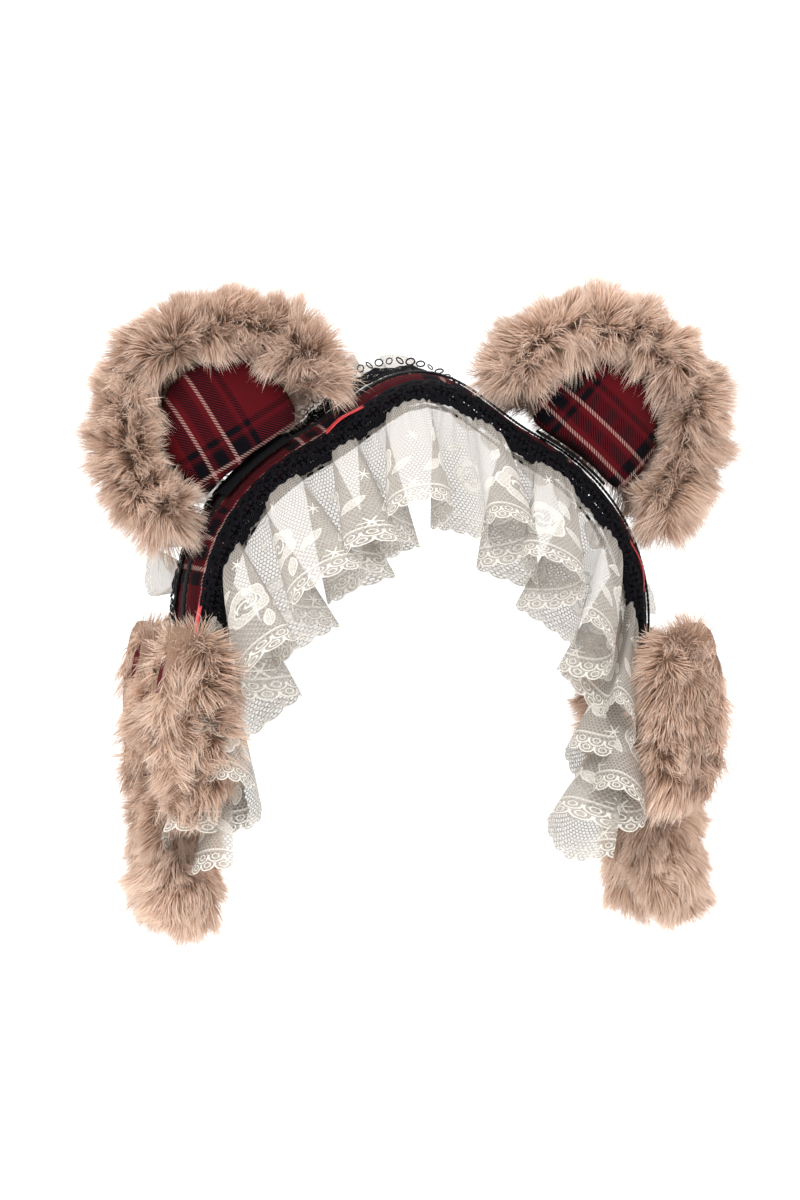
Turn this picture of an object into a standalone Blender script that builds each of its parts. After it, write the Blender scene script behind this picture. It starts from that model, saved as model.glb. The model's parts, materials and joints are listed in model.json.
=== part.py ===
"""Animal ears headband: a padded tartan hoop that carries two fur ears, two fur bows and lace frills.

Metres, +Z up. The origin is the middle of the crown's inner face. X runs across the head and
Y runs from the forehead (-Y) to the back of the head (+Y).
"""

import bisect
import math

import bmesh
import bpy
from mathutils import Matrix, Vector
from mathutils.geometry import interpolate_bezier

MM = 0.001
DEG = math.pi / 180

# Arch of the band's inner front edge, one side of it: crown, shoulder, widest place and end
CROWN_FLAT = 13 * MM
SHOULDER_OUT = 40 * MM
SHOULDER_DROP = 22.5 * MM
SHOULDER_SLOPE = 28 * DEG
SHOULDER_PULL = 21 * MM
SIDE_OUT = 74 * MM
SIDE_DROP = 78 * MM
SIDE_PULL = 27 * MM
END_OUT = 65 * MM
END_DROP = 148 * MM
END_LEAN = 13 * DEG
END_PULL = 26 * MM

# How far the band flares open towards the back of the head
CROWN_SPLAY = 10 * DEG
SIDE_SPLAY = 15 * DEG
END_SPLAY = 6 * DEG

# Layers of the band, from the head outwards
GAP = 0.3 * MM
ARCH_STEPS = 49
WELD, TUBE_WELD, ON_PLANE = 0.001 * MM, 0.01 * MM, 0.0001 * MM
BAND_WIDTH = 30 * MM
LINING_THICK = 0.8 * MM
HOOP_WIDTH = 18 * MM
HOOP_THICK = 1.8 * MM
FOAM_EDGE = 1.2 * MM
FOAM_DOME = 2.4 * MM
COVER_THICK = 0.8 * MM
END_CAP_THICK = 1.5 * MM
BAND_STATIONS = 44
LEAST_STEP = 0.5 * MM

# Trims on the cover
LACE_WIDTH = 9 * MM
LACE_THICK = 0.7 * MM
LACE_HEM = 1 * MM
RIBBON_WIDTH = 3.2 * MM
RIBBON_THICK = 0.5 * MM
RIBBON_INSET = 3 * MM
BRAID_WIDTH = 2.6 * MM
BRAID_THICK = 0.9 * MM
PAD_THICK = 1 * MM
PAD_WIDTH = 10 * MM
PAD_REACH = 13 * MM

# Lace frills and the tapes that hold their gathered edges
FRILL_THICK = 0.8 * MM
FRILL_SEAM = 4 * MM
TAPE_WIDTH = 5 * MM
TAPE_THICK = 0.8 * MM
FRONT_FRILL_DEPTH = 50 * MM
FRONT_FRILL_LEAN = 33 * DEG
FRONT_FRILL_WAVE = 7 * MM
FRONT_FRILL_FOLDS = 8
FRILL_CENTRE_DROP = 230 * MM
FRONT_FRILL_CUT = 24 * MM  # the front frill stops this far short of each end of the band
REAR_FRILL_DEPTH = 30 * MM
REAR_FRILL_RISE = 9 * MM
REAR_FRILL_LOW_RISE = 3 * MM
REAR_FRILL_WAVE = 2.2 * MM
REAR_FRILL_FOLDS = 5
REAR_FRILL_END = 104 * MM

# Ears
EAR_RADIUS = 47.5 * MM
EAR_RIM_RADIUS = 10.5 * MM
EAR_CENTRE = 12.5 * MM
EAR_ACROSS = 6 * MM
EAR_BACK_DEPTH = 16 * MM
EAR_RIM_FORWARD = 6 * MM
EAR_RIM_SWEEP = 124 * DEG
EAR_AXIS_HEIGHT = 8.5 * MM
EAR_CORE_DEPTH = 7 * MM
EAR_CORE_CLEAR = 2.5 * MM
EAR_CORE_DROP = 22 * MM
EAR_WIRE_RADIUS = 0.8 * MM
EAR_WIRE_INSET = 3 * MM
EAR_ROCK = 10 * DEG
EAR_SHADE, EAR_ROOM_SPREAD, CORE_SQUARENESS = 1.4, 1.6, 0.9
EAR_PLACES = {"left": (-1, 62.5 * MM, 32 * DEG), "right": (1, 57.5 * MM, 42 * DEG)}

# Bows
BOW_DROP = 108.5 * MM
BOW_ACROSS = 4 * MM
BOW_STAND_OFF = 3 * MM
BOW_TURN = 6 * DEG
KNOT_HALF = (15 * MM, 10 * MM, 15 * MM)
LOOP_HALF = (17 * MM, 19 * MM, 40 * MM)
LOOP_TAPER, LOOP_TAPER_CURVE, LOOP_SQUARENESS = 0.45, 0.7, 0.7
LOOP_STUFFING_DEPTH = 8 * MM
LOOP_RIM = 8 * MM
LOOP_RECESS = 4 * MM
TAIL_HALF = (14 * MM, 14 * MM, 29 * MM)
TAIL_TAPER = 0.5
TAIL_SPLAY = 12 * DEG
TAIL_GAP = 1.5 * MM
TAIL_AXIS_DROP = 9 * MM
BOW_CLEARANCE = 1.2 * MM

PANEL_THICK = 0.8 * MM
MOVING_CLEARANCE = 0.6 * MM
FUR = ((0.42, 0.29, 0.2), 0.95, 0)
TARTAN = ((0.3, 0.02, 0.03), 0.9, 0)
BLACK = ((0.012, 0.012, 0.014), 0.85, 0)
IVORY = ((0.82, 0.77, 0.66), 0.9, 0)
STUFFING = ((0.85, 0.85, 0.83), 1, 0)
PLASTIC = ((0.04, 0.04, 0.045), 0.4, 0)
STEEL = ((0.55, 0.55, 0.56), 0.35, 1)
SATIN = ((0.6, 0.01, 0.015), 0.35, 0)
FELT = ((0.03, 0.025, 0.025), 1, 0)


def clear_scene():
    for thing in list(bpy.data.objects):
        bpy.data.objects.remove(thing, do_unlink=True)


def collection(name, rendered=True):
    made = bpy.data.collections.new(name)
    made.hide_render = not rendered
    bpy.context.scene.collection.children.link(made)
    return made


def material(name, look):
    colour, roughness, metallic = look
    made = bpy.data.materials.new(name)
    made.use_nodes = True
    shader = made.node_tree.nodes["Principled BSDF"]
    shader.inputs["Base Color"].default_value = (*colour, 1)
    shader.inputs["Roughness"].default_value = roughness
    shader.inputs["Metallic"].default_value = metallic
    made.diffuse_color = (*colour, 1)
    return made


def add_object(name, mesh, look=None, parent=None):
    """A named object from a bmesh: a part when it has a look, and otherwise a cutter."""
    data = bpy.data.meshes.new(name)
    mesh.to_mesh(data)
    mesh.free()
    made = bpy.data.objects.new(name, data)
    if look:
        PARTS.objects.link(made)
        data.materials.append(material(name, look))
    else:
        CUTTERS.objects.link(made)
        made.hide_render = True
        made.display_type = "WIRE"
    made.parent = parent
    return made


def add_modifier(target, kind, **values):
    modifier = target.modifiers.new(kind.title(), kind)
    for key, value in values.items():
        setattr(modifier, key, value)
    return modifier


# ---------------------------------------------------------------- the arch and the band's surface


def half_arch():
    """(out, up) points down one side of the arch, from the crown to the end."""
    slope = Vector((math.cos(SHOULDER_SLOPE), -math.sin(SHOULDER_SLOPE)))
    lean = Vector((math.sin(END_LEAN), math.cos(END_LEAN)))
    down = Vector((0, -1))
    crown = Vector((0, 0))
    shoulder = Vector((SHOULDER_OUT, -SHOULDER_DROP))
    side = Vector((SIDE_OUT, -SIDE_DROP))
    end = Vector((END_OUT, -END_DROP))
    spans = (
        (crown, crown + Vector((CROWN_FLAT, 0)), shoulder - SHOULDER_PULL * slope, shoulder),
        (shoulder, shoulder + SHOULDER_PULL * slope, side - SIDE_PULL * down, side),
        (side, side + SIDE_PULL * down, end + END_PULL * lean, end),
    )
    points = [crown]
    for span in spans:
        points += [Vector(p[:2]) for p in interpolate_bezier(*[p.to_3d() for p in span], ARCH_STEPS)[1:]]
    return points


ARCH = half_arch()
ARCH_RUN = [0.0]
for before, after in zip(ARCH, ARCH[1:]):
    ARCH_RUN.append(ARCH_RUN[-1] + (after - before).length)
BAND_REACH = ARCH_RUN[-1]


def run_at_drop(drop):
    """The distance along the arch from the crown to the place that is this far below it."""
    return next(run for run, point in zip(ARCH_RUN, ARCH) if point.y <= -drop)


def arch_at(run):
    """The arch's point and its outward direction, both in 3D, at a signed distance from the crown."""
    side = -1 if run < 0 else 1
    at = min(max(bisect.bisect(ARCH_RUN, abs(run)) - 1, 0), len(ARCH) - 2)
    share = (abs(run) - ARCH_RUN[at]) / (ARCH_RUN[at + 1] - ARCH_RUN[at])
    point = ARCH[at].lerp(ARCH[at + 1], share)
    near, far = max(at - 1, 0), min(at + 2, len(ARCH) - 1)
    ahead = (ARCH[at + 1] - ARCH[near]).lerp(ARCH[far] - ARCH[at], min(max(share, 0), 1)).normalized()
    if at == 0:
        ahead = Vector((1, 0)).lerp(ahead, min(share, 1)).normalized()
    return Vector((side * point.x, 0, point.y)), Vector((-side * ahead.y, 0, ahead.x))


def smooth_share(value, start, end):
    share = min(max((value - start) / (end - start), 0), 1)
    return share * share * (3 - 2 * share)


def splay_at(run):
    widest = run_at_drop(SIDE_DROP)
    if abs(run) < widest:
        return CROWN_SPLAY + (SIDE_SPLAY - CROWN_SPLAY) * smooth_share(abs(run), 0, widest)
    return SIDE_SPLAY + (END_SPLAY - SIDE_SPLAY) * smooth_share(abs(run), widest, BAND_REACH)


def band_point(run, across, lift):
    """The place along the arch, across the band (front edge negative) and out from its inner face."""
    point, outward = arch_at(run)
    splay = splay_at(run)
    back = Vector((0, 1, 0))
    along_face = back * math.cos(splay) + outward * math.sin(splay)
    off_face = outward * math.cos(splay) - back * math.sin(splay)
    return point - back * BAND_WIDTH / 2 + along_face * (across + BAND_WIDTH / 2) + off_face * lift


HOOP_FLOOR = LINING_THICK + GAP
FOAM_FLOOR = HOOP_FLOOR + HOOP_THICK + GAP
FOAM_HALF = BAND_WIDTH / 2 - COVER_THICK - GAP
COVER_PEAK = FOAM_FLOOR + FOAM_EDGE + FOAM_DOME + GAP + COVER_THICK
PAD_LIFT = COVER_PEAK + GAP + BRAID_THICK + GAP
FRILL_LIFT = -2 * GAP - FRILL_THICK / 2


def foam_top(across):
    return FOAM_FLOOR + FOAM_EDGE + FOAM_DOME * max(1 - (across / FOAM_HALF) ** 2, 0)


def cover_top(across):
    return foam_top(across) + GAP + COVER_THICK


def spread(start, end, steps):
    return [start + (end - start) * i / steps for i in range(steps + 1)]


def loft(rings):
    """A closed bmesh through rings of points, which have one point count and may differ in shape."""
    mesh = bmesh.new()
    rings = [[mesh.verts.new(point) for point in ring] for ring in rings]
    for ring, following in zip(rings, rings[1:]):
        for i in range(len(ring)):
            j = (i + 1) % len(ring)
            mesh.faces.new((ring[i], ring[j], following[j], following[i]))
    mesh.faces.new(rings[0])
    mesh.faces.new(rings[-1])
    bmesh.ops.recalc_face_normals(mesh, faces=mesh.faces)
    return mesh


def stations_between(start, end):
    """Distances along the arch. Every layer bends at the same ones, so the gaps between them are even."""
    step = 2 * BAND_REACH / BAND_STATIONS
    low, high = sorted((start, end))
    inner = [i * step for i in range(math.ceil(low / step), math.floor(high / step) + 1)]
    return [low, *[run for run in inner if low + LEAST_STEP < run < high - LEAST_STEP], high]


def band_loft(section, start=-BAND_REACH, end=BAND_REACH):
    """A closed bmesh whose section, a list of (across, lift), follows the band. The section turns with the
    band's flare, which a curve's bevel can't do."""
    return loft([[band_point(run, *place) for place in section] for run in stations_between(start, end)])


def strip_section(front, back, floor, thickness, steps=2):
    """A strip's section from front to back, on a floor that is a function of the place across."""
    across = spread(front, back, steps)
    return [(a, floor(a)) for a in across] + [(a, floor(a) + thickness) for a in reversed(across)]


# ---------------------------------------------------------------- band


def build_band():
    half = BAND_WIDTH / 2
    inside = half - COVER_THICK - GAP
    lining = strip_section(-inside, inside, lambda _: 0, LINING_THICK, 1)
    add_object("lining", band_loft(lining), BLACK)
    hoop = strip_section(-HOOP_WIDTH / 2, HOOP_WIDTH / 2, lambda _: HOOP_FLOOR, HOOP_THICK, 1)
    add_object("hoop", band_loft(hoop), PLASTIC)
    top = [(a, foam_top(a)) for a in spread(FOAM_HALF, -FOAM_HALF, 4)]
    foam = [(-FOAM_HALF, FOAM_FLOOR), (FOAM_HALF, FOAM_FLOOR), *top]
    add_object("foam_padding", band_loft(foam), STUFFING)
    add_object("tartan_cover", band_loft(cover_section()), TARTAN)
    for side, name in ((-1, "left"), (1, "right")):
        cap = [(-half, 0), (half, 0), *[(a, cover_top(a)) for a in spread(half, -half, 4)]]
        start = side * (BAND_REACH + GAP)
        end = side * (BAND_REACH + GAP + END_CAP_THICK)
        add_object(f"end_cap_{name}", band_loft(cap, start, end), FELT)


def cover_section():
    """The cover's section: a skin over the foam whose two edges turn in to the lining."""
    half = BAND_WIDTH / 2
    outer = [(-half, 0), *[(a, cover_top(a)) for a in spread(-half, half, 4)], (half, 0)]
    inner_half = half - COVER_THICK
    inner = [(a, foam_top(a) + GAP) for a in spread(inner_half, -inner_half, 4)]
    return [*outer, (inner_half, 0), *inner, (-inner_half, 0)]


def edge_lace_section(side):
    """Lace that lies on the cover beside one edge and turns down over it."""
    half = BAND_WIDTH / 2
    inner = half - LACE_WIDTH
    across = spread(inner, half + GAP, 2)
    under = [(side * a, cover_top(a) + GAP) for a in across] + [(side * (half + GAP), LACE_HEM)]
    edge = half + GAP + LACE_THICK
    over = [(side * edge, LACE_HEM), (side * edge, cover_top(half) + GAP + LACE_THICK)]
    over += [(side * a, cover_top(a) + GAP + LACE_THICK) for a in reversed(across[:-1])]
    return under + over


def build_trims():
    half = BAND_WIDTH / 2
    add_object("front_black_lace", band_loft(edge_lace_section(-1)), BLACK)
    add_object("rear_black_lace", band_loft(edge_lace_section(1)), BLACK)
    front = -half + RIBBON_INSET
    ribbon = strip_section(
        front, front + RIBBON_WIDTH, lambda a: cover_top(a) + 2 * GAP + LACE_THICK, RIBBON_THICK, 1
    )
    add_object("satin_ribbon", band_loft(ribbon), SATIN)
    braid = strip_section(
        -BRAID_WIDTH / 2, BRAID_WIDTH / 2, lambda _: COVER_PEAK + GAP, BRAID_THICK, 1
    )
    add_object("centre_braid", band_loft(braid), BLACK)


# ---------------------------------------------------------------- frills


def front_fall(run):
    """The direction in which the front frill hangs: towards a point low in the head space, and forwards."""
    point, _ = arch_at(run)
    inward = (Vector((0, 0, -FRILL_CENTRE_DROP)) - point).normalized()
    return inward * math.cos(FRONT_FRILL_LEAN) - Vector((0, math.sin(FRONT_FRILL_LEAN), 0))


def front_frill_point(run, share):
    """share is 0 where the frill leaves the band and 1 at its free edge."""
    root = band_point(run, -BAND_WIDTH / 2 - LACE_THICK - 2 * GAP, FRILL_LIFT)
    fall = front_fall(run)
    billow = Vector((0, -1, 0)).cross(fall).cross(fall).normalized()
    wave = FRONT_FRILL_WAVE * share * math.sin(FRONT_FRILL_FOLDS * math.pi * run / BAND_REACH)
    return root + fall * FRONT_FRILL_DEPTH * share + billow * wave


def rear_frill_point(run, share):
    """The rear frill goes on along the band's flare, and rises where no ear stands over it."""
    half = BAND_WIDTH / 2
    side, ear_run, _ = EAR_PLACES["left" if run < 0 else "right"]
    near_ear = smooth_share(abs(run - side * ear_run), EAR_RADIUS * EAR_SHADE, EAR_RADIUS)
    rise = REAR_FRILL_RISE + (REAR_FRILL_LOW_RISE - REAR_FRILL_RISE) * near_ear
    wave = REAR_FRILL_WAVE * share * math.sin(REAR_FRILL_FOLDS * math.pi * run / REAR_FRILL_END)
    across = half + LACE_THICK + 3 * GAP + REAR_FRILL_DEPTH * share
    return band_point(run, across, FRILL_LIFT + rise * share + wave)


def add_frill(name, point_at, edge, reach):
    """A gathered lace frill: its seam lies under the band's edge and the rest follows point_at."""
    side = math.copysign(1, edge)
    mesh = bmesh.new()
    rows = []
    for run in stations_between(-reach, reach):
        seam = band_point(run, edge - side * FRILL_SEAM, FRILL_LIFT)
        places = [seam, *[point_at(run, share) for share in spread(0, 1, 3)]]
        rows.append([mesh.verts.new(place) for place in places])
    for row, following in zip(rows, rows[1:]):
        for i in range(len(row) - 1):
            mesh.faces.new((row[i], row[i + 1], following[i + 1], following[i]))
    bmesh.ops.recalc_face_normals(mesh, faces=mesh.faces)
    frill = add_object(name, mesh, IVORY)
    add_modifier(frill, "SOLIDIFY", thickness=FRILL_THICK, offset=0, use_quality_normals=True)


def build_frills():
    half = BAND_WIDTH / 2
    front_reach = BAND_REACH - FRONT_FRILL_CUT
    add_frill("front_frill", front_frill_point, -half, front_reach)
    add_frill("rear_frill", rear_frill_point, half, REAR_FRILL_END)
    floor = FRILL_LIFT - FRILL_THICK / 2 - GAP - TAPE_THICK
    front = strip_section(-half, -half + TAPE_WIDTH, lambda _: floor, TAPE_THICK, 1)
    back = strip_section(half - TAPE_WIDTH, half, lambda _: floor, TAPE_THICK, 1)
    add_object("front_gathering_tape", band_loft(front, -front_reach, front_reach), BLACK)
    add_object("rear_gathering_tape", band_loft(back, -REAR_FRILL_END, REAR_FRILL_END), BLACK)


# ---------------------------------------------------------------- what ears and bows share


def pad_on_band(name, run):
    """A felt patch on the band, on which a piece is sewn."""
    patch = strip_section(-PAD_WIDTH / 2, PAD_WIDTH / 2, lambda _: PAD_LIFT, PAD_THICK, 1)
    add_object(name, band_loft(patch, run - PAD_REACH, run + PAD_REACH), FELT)


def clearance_cutters(name, run, reach, frame, axis, limit, margin):
    """The room that the band takes in the frame of a piece that turns about axis, at rest and at its limits."""
    half = BAND_WIDTH / 2 + margin
    section = [(-half, -2 * PAD_LIFT), (half, -2 * PAD_LIFT)]
    top = PAD_LIFT + PAD_THICK + MOVING_CLEARANCE
    section += [(half, top), (-half, top)]
    start, end = max(run - reach, -BAND_REACH - half), min(run + reach, BAND_REACH + half)
    rooms = []
    for turn in (0, limit, -limit):
        rooms.append(add_object(f"{name}_{round(turn / DEG)}", band_loft(section, start, end)))
        rooms[-1].data.transform(frame @ Matrix.Rotation(turn, 4, axis) @ frame.inverted())
    return rooms


def cut(target, cutters):
    """Cuts closed meshes away. The exact solver loses a pillow that several of these graze."""
    for cutter in cutters:
        add_modifier(target, "BOOLEAN", operation="DIFFERENCE", solver="MANIFOLD", object=cutter)


def keep_largest(target):
    """Makes the cuts final and drops the scraps that they left inside the arch."""
    bpy.context.view_layer.update()
    mesh = bmesh.new()
    mesh.from_object(target, bpy.context.evaluated_depsgraph_get())
    target.modifiers.clear()
    bmesh.ops.remove_doubles(mesh, verts=mesh.verts, dist=WELD)
    waiting, islands = set(mesh.verts), []
    while waiting:
        found, edge = set(), {waiting.pop()}
        while edge:
            found |= edge
            edge = {e.other_vert(v) for v in edge for e in v.link_edges} - found
        waiting -= found
        islands.append(found)
    largest = max(islands, key=len)
    scraps = [v for island in islands if island is not largest for v in island]
    bmesh.ops.delete(mesh, geom=scraps, context="VERTS")
    mesh.to_mesh(target.data)
    mesh.free()


def round_pad(half_sizes, centre=(0, 0, 0), squareness=0.75, segments=12, rings=8, shape=None):
    """A pillow: a sphere whose sides are drawn out towards a box, then shaped by a function of its points."""
    mesh = bmesh.new()
    bmesh.ops.create_uvsphere(mesh, u_segments=segments, v_segments=rings, radius=1)
    for vertex in mesh.verts:
        drawn = [math.copysign(abs(value) ** squareness, value) for value in vertex.co]
        place = Vector([value * half for value, half in zip(drawn, half_sizes)])
        vertex.co = (shape(place) if shape else place) + Vector(centre)
    return mesh


def keep_side(mesh, point, direction, closed=True):
    """Keeps the part of a mesh that lies on the side of a plane to which direction points."""
    geometry = mesh.verts[:] + mesh.edges[:] + mesh.faces[:]
    made = bmesh.ops.bisect_plane(
        mesh, geom=geometry, dist=ON_PLANE, plane_co=point, plane_no=direction, clear_inner=True
    )
    if closed:
        edges = [item for item in made["geom_cut"] if isinstance(item, bmesh.types.BMEdge)]
        bmesh.ops.contextual_create(mesh, geom=edges)
        bmesh.ops.recalc_face_normals(mesh, faces=mesh.faces)
    return mesh


def empty_at(name, frame):
    made = bpy.data.objects.new(name, None)
    bpy.context.scene.collection.objects.link(made)
    made.matrix_world = frame
    return made


def tube_mesh(points, radius, sides=2):
    """A bmesh of a round tube through points, made as a curve with filled ends."""
    curve = bpy.data.curves.new("tube", "CURVE")
    curve.dimensions = "3D"
    curve.bevel_depth = radius
    curve.bevel_resolution = sides
    curve.use_fill_caps = True
    spline = curve.splines.new("POLY")
    spline.points.add(len(points) - 1)
    for target, point in zip(spline.points, points):
        target.co = (*point, 1)
    holder = bpy.data.objects.new("tube", curve)
    bpy.context.scene.collection.objects.link(holder)
    made = bmesh.new()
    shown = holder.evaluated_get(bpy.context.evaluated_depsgraph_get())
    made.from_mesh(bpy.data.meshes.new_from_object(shown))
    bmesh.ops.remove_doubles(made, verts=made.verts, dist=TUBE_WELD)
    bmesh.ops.recalc_face_normals(made, faces=made.faces)
    bpy.data.objects.remove(holder)
    return made


# ---------------------------------------------------------------- ears


def ear_frame(side, run, tilt):
    """A frame on the ear's rocking axis: X along its seam and Z up the ear."""
    seat = band_point(side * run, EAR_ACROSS, PAD_LIFT + PAD_THICK)
    turn = Matrix.Rotation(side * tilt, 4, "Y")
    return Matrix.Translation(seat) @ turn @ Matrix.Translation((0, 0, EAR_AXIS_HEIGHT))


def clear_angle(frame, radius, thickness, step):
    """How far round an ear's centre, from its top, an arc stays that clear of the band."""
    outline = [band_point(run, EAR_ACROSS, PAD_LIFT) for run in spread(-BAND_REACH, BAND_REACH, 200)]
    centre = EAR_CENTRE - EAR_AXIS_HEIGHT
    angle = 0.0
    while abs(angle) < EAR_RIM_SWEEP:
        angle += step
        local = Vector((radius * math.sin(angle), 0, centre + radius * math.cos(angle)))
        place = frame @ local
        if min((Vector((p.x, p.z)) - Vector((place.x, place.z))).length for p in outline) < thickness:
            return angle - step
    return angle


def ear_arc(frame, radius, forward, thickness, steps):
    """Points of an arc round the ear's centre that ends above the band on both sides."""
    centre = EAR_CENTRE - EAR_AXIS_HEIGHT
    start = clear_angle(frame, radius, thickness, -2 * DEG)
    end = clear_angle(frame, radius, thickness, 2 * DEG)
    return [
        (radius * math.sin(angle), -forward, centre + radius * math.cos(angle))
        for angle in spread(start, end, steps)
    ]


def build_ear(name, side, run, tilt):
    frame = ear_frame(side, run, tilt)
    hinge = empty_at(f"ear_{name}_hinge", frame)
    centre = EAR_CENTRE - EAR_AXIS_HEIGHT
    rooms = clearance_cutters(
        f"ear_{name}_room", side * run, EAR_ROOM_SPREAD * EAR_RADIUS, frame, "X", EAR_ROCK, EAR_BACK_DEPTH
    )
    path_radius = EAR_RADIUS - EAR_RIM_RADIUS

    rim_path = ear_arc(frame, path_radius, EAR_RIM_FORWARD, EAR_RIM_RADIUS / 2, 20)
    rim = add_object(f"ear_{name}_fur_rim", tube_mesh(rim_path, EAR_RIM_RADIUS), FUR, hinge)
    cut(rim, rooms)

    back_plane = EAR_RIM_RADIUS - EAR_RIM_FORWARD + GAP
    back = round_pad(
        (EAR_RADIUS, 2 * EAR_BACK_DEPTH, EAR_RADIUS), (0, 0, centre), 1, 22, 12,
        lambda p: Vector((p.x, p.y / 2 + back_plane, p.z)),
    )
    keep_side(back, (0, back_plane, 0), (0, 1, 0))
    fur_back = add_object(f"ear_{name}_fur_back", back, FUR, hinge)
    cut(fur_back, rooms)
    keep_largest(fur_back)

    def drop(place):
        return Vector((place.x, place.y, place.z * (EAR_CORE_DROP / core if place.z < 0 else 1)))

    core = path_radius - EAR_RIM_RADIUS - EAR_CORE_CLEAR
    core_middle = back_plane - GAP - EAR_CORE_DEPTH
    stuffing = round_pad((core, EAR_CORE_DEPTH, core), (0, core_middle, centre), CORE_SQUARENESS, 18, 10, drop)
    cut(add_object(f"ear_{name}_stuffing", stuffing, STUFFING, hinge), rooms)

    grown = core + GAP
    skin = round_pad(
        (grown, EAR_CORE_DEPTH + GAP, grown), (0, core_middle, centre), CORE_SQUARENESS, 24, 12, drop
    )
    keep_side(skin, (0, core_middle, 0), (0, -1, 0), closed=False)
    panel = add_object(f"ear_{name}_tartan_panel", skin, TARTAN, hinge)
    add_modifier(panel, "SOLIDIFY", thickness=PANEL_THICK, offset=1)
    cut(panel, rooms)

    wire_forward = -(back_plane - EAR_WIRE_RADIUS - 2 * GAP)
    wire_path = ear_arc(
        frame, EAR_RADIUS - EAR_WIRE_INSET, wire_forward, EAR_WIRE_RADIUS + EAR_RIM_RADIUS, 20
    )
    add_object(f"ear_{name}_wire", tube_mesh(wire_path, EAR_WIRE_RADIUS, 1), STEEL, hinge)
    pad_on_band(f"ear_{name}_base_pad", side * run)


# ---------------------------------------------------------------- bows


def bow_frame(side):
    """A frame on the axis through a bow's knot. X points away from the head on either side."""
    seat = band_point(side * run_at_drop(BOW_DROP), BOW_ACROSS, PAD_LIFT + PAD_THICK)
    centre = seat + Vector((side * BOW_STAND_OFF, 0, 0))
    return Matrix.Translation(centre) @ Matrix.Diagonal((side, 1, 1, 1))


def add_in_frame(name, mesh, frame, look, hinge):
    """Adds a bmesh drawn in a frame that may be mirrored, under a hinge that isn't turned."""
    mesh.transform(hinge.matrix_world.inverted() @ frame)
    if frame.determinant() < 0:
        bmesh.ops.reverse_faces(mesh, faces=mesh.faces)
    return add_object(name, mesh, look, hinge)


def loop_pad(way, half_sizes, centre, grow=0, outward=1):
    """A pillow that narrows towards the knot. way is -1 for the front loop and 1 for the rear one, grow is
    added all round, and outward stretches the half that faces away from the head."""
    depth, length, height = half_sizes

    def shape(place):
        share = min(max((way * place.y / (length + grow) + 1) / 2, 0), 1)
        local = height * (LOOP_TAPER + (1 - LOOP_TAPER) * share**LOOP_TAPER_CURVE) + grow
        out = place.x * (outward if place.x > 0 else 1)
        return Vector((out, place.y, place.z * local / (height + grow)))

    return round_pad((depth + grow, length + grow, height + grow), centre, LOOP_SQUARENESS, 14, 8, shape)


def build_loop(prefix, way, frame, hinge, rooms):
    depth, length, height = LOOP_HALF
    middle = way * (KNOT_HALF[1] + length + GAP)
    loop = loop_pad(way, LOOP_HALF, (0, middle, 0))
    target = add_in_frame(f"{prefix}_loop", loop, frame, FUR, hinge)
    cut(target, rooms)

    inner = (LOOP_STUFFING_DEPTH, length - LOOP_RIM, height - LOOP_RIM)
    centre = (depth - LOOP_RECESS - LOOP_STUFFING_DEPTH, middle, 0)
    pocket = loop_pad(way, inner, centre, 2 * GAP + PANEL_THICK, 4)
    cut(target, [add_in_frame(f"{prefix}_pocket", pocket, frame, None, hinge)])
    add_in_frame(f"{prefix}_stuffing", loop_pad(way, inner, centre), frame, STUFFING, hinge)
    skin = keep_side(loop_pad(way, inner, centre, GAP), (centre[0], 0, 0), (1, 0, 0), closed=False)
    panel = add_in_frame(f"{prefix}_tartan_panel", skin, frame, TARTAN, hinge)
    add_modifier(panel, "SOLIDIFY", thickness=PANEL_THICK, offset=1)


def build_tail(name, way, frame, bow_hinge, rooms):
    depth, width, length = TAIL_HALF
    top = -KNOT_HALF[2] - TAIL_GAP

    def shape(place):
        share = (1 - place.z / length) / 2
        wide = TAIL_TAPER + (1 - TAIL_TAPER) * share
        down = place.z - length
        inner_side = way * (GAP - down * math.tan(TAIL_SPLAY) / 2)
        return Vector((place.x, (place.y + way * width) * wide + inner_side, down + top))

    axis = frame @ Vector((0, 0, top - TAIL_AXIS_DROP))
    hinge = empty_at(f"{name}_hinge", Matrix.Translation(axis))
    tail = add_in_frame(name, round_pad(TAIL_HALF, shape=shape), frame, FUR, hinge)
    cut(tail, rooms)
    hinge.parent = bow_hinge
    hinge.matrix_parent_inverse = bow_hinge.matrix_world.inverted()


def build_bow(name, side):
    frame = bow_frame(side)
    axis_frame = Matrix.Translation(frame.translation)
    hinge = empty_at(f"bow_{name}_hinge", axis_frame)
    run = side * run_at_drop(BOW_DROP)
    rooms = clearance_cutters(
        f"bow_{name}_room", run, 2 * LOOP_HALF[2], axis_frame, "X", BOW_TURN, BOW_CLEARANCE
    )
    knot = add_in_frame(f"bow_{name}_knot", round_pad(KNOT_HALF, squareness=LOOP_SQUARENESS), frame, FUR, hinge)
    cut(knot, rooms)
    for place, way in (("front", -1), ("rear", 1)):
        build_loop(f"bow_{name}_{place}", way, frame, hinge, rooms)
        build_tail(f"bow_{name}_{place}_tail", way, frame, hinge, rooms)
    pad_on_band(f"bow_{name}_backing_pad", run)


clear_scene()
PARTS = collection("animal_ears_headband")
CUTTERS = collection("cutters", rendered=False)
build_band()
build_trims()
build_frills()
for ear_name, (ear_side, ear_run, ear_tilt) in EAR_PLACES.items():
    build_ear(ear_name, ear_side, ear_run, ear_tilt)
for bow_name, bow_side in (("left", -1), ("right", 1)):
    build_bow(bow_name, bow_side)
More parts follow.
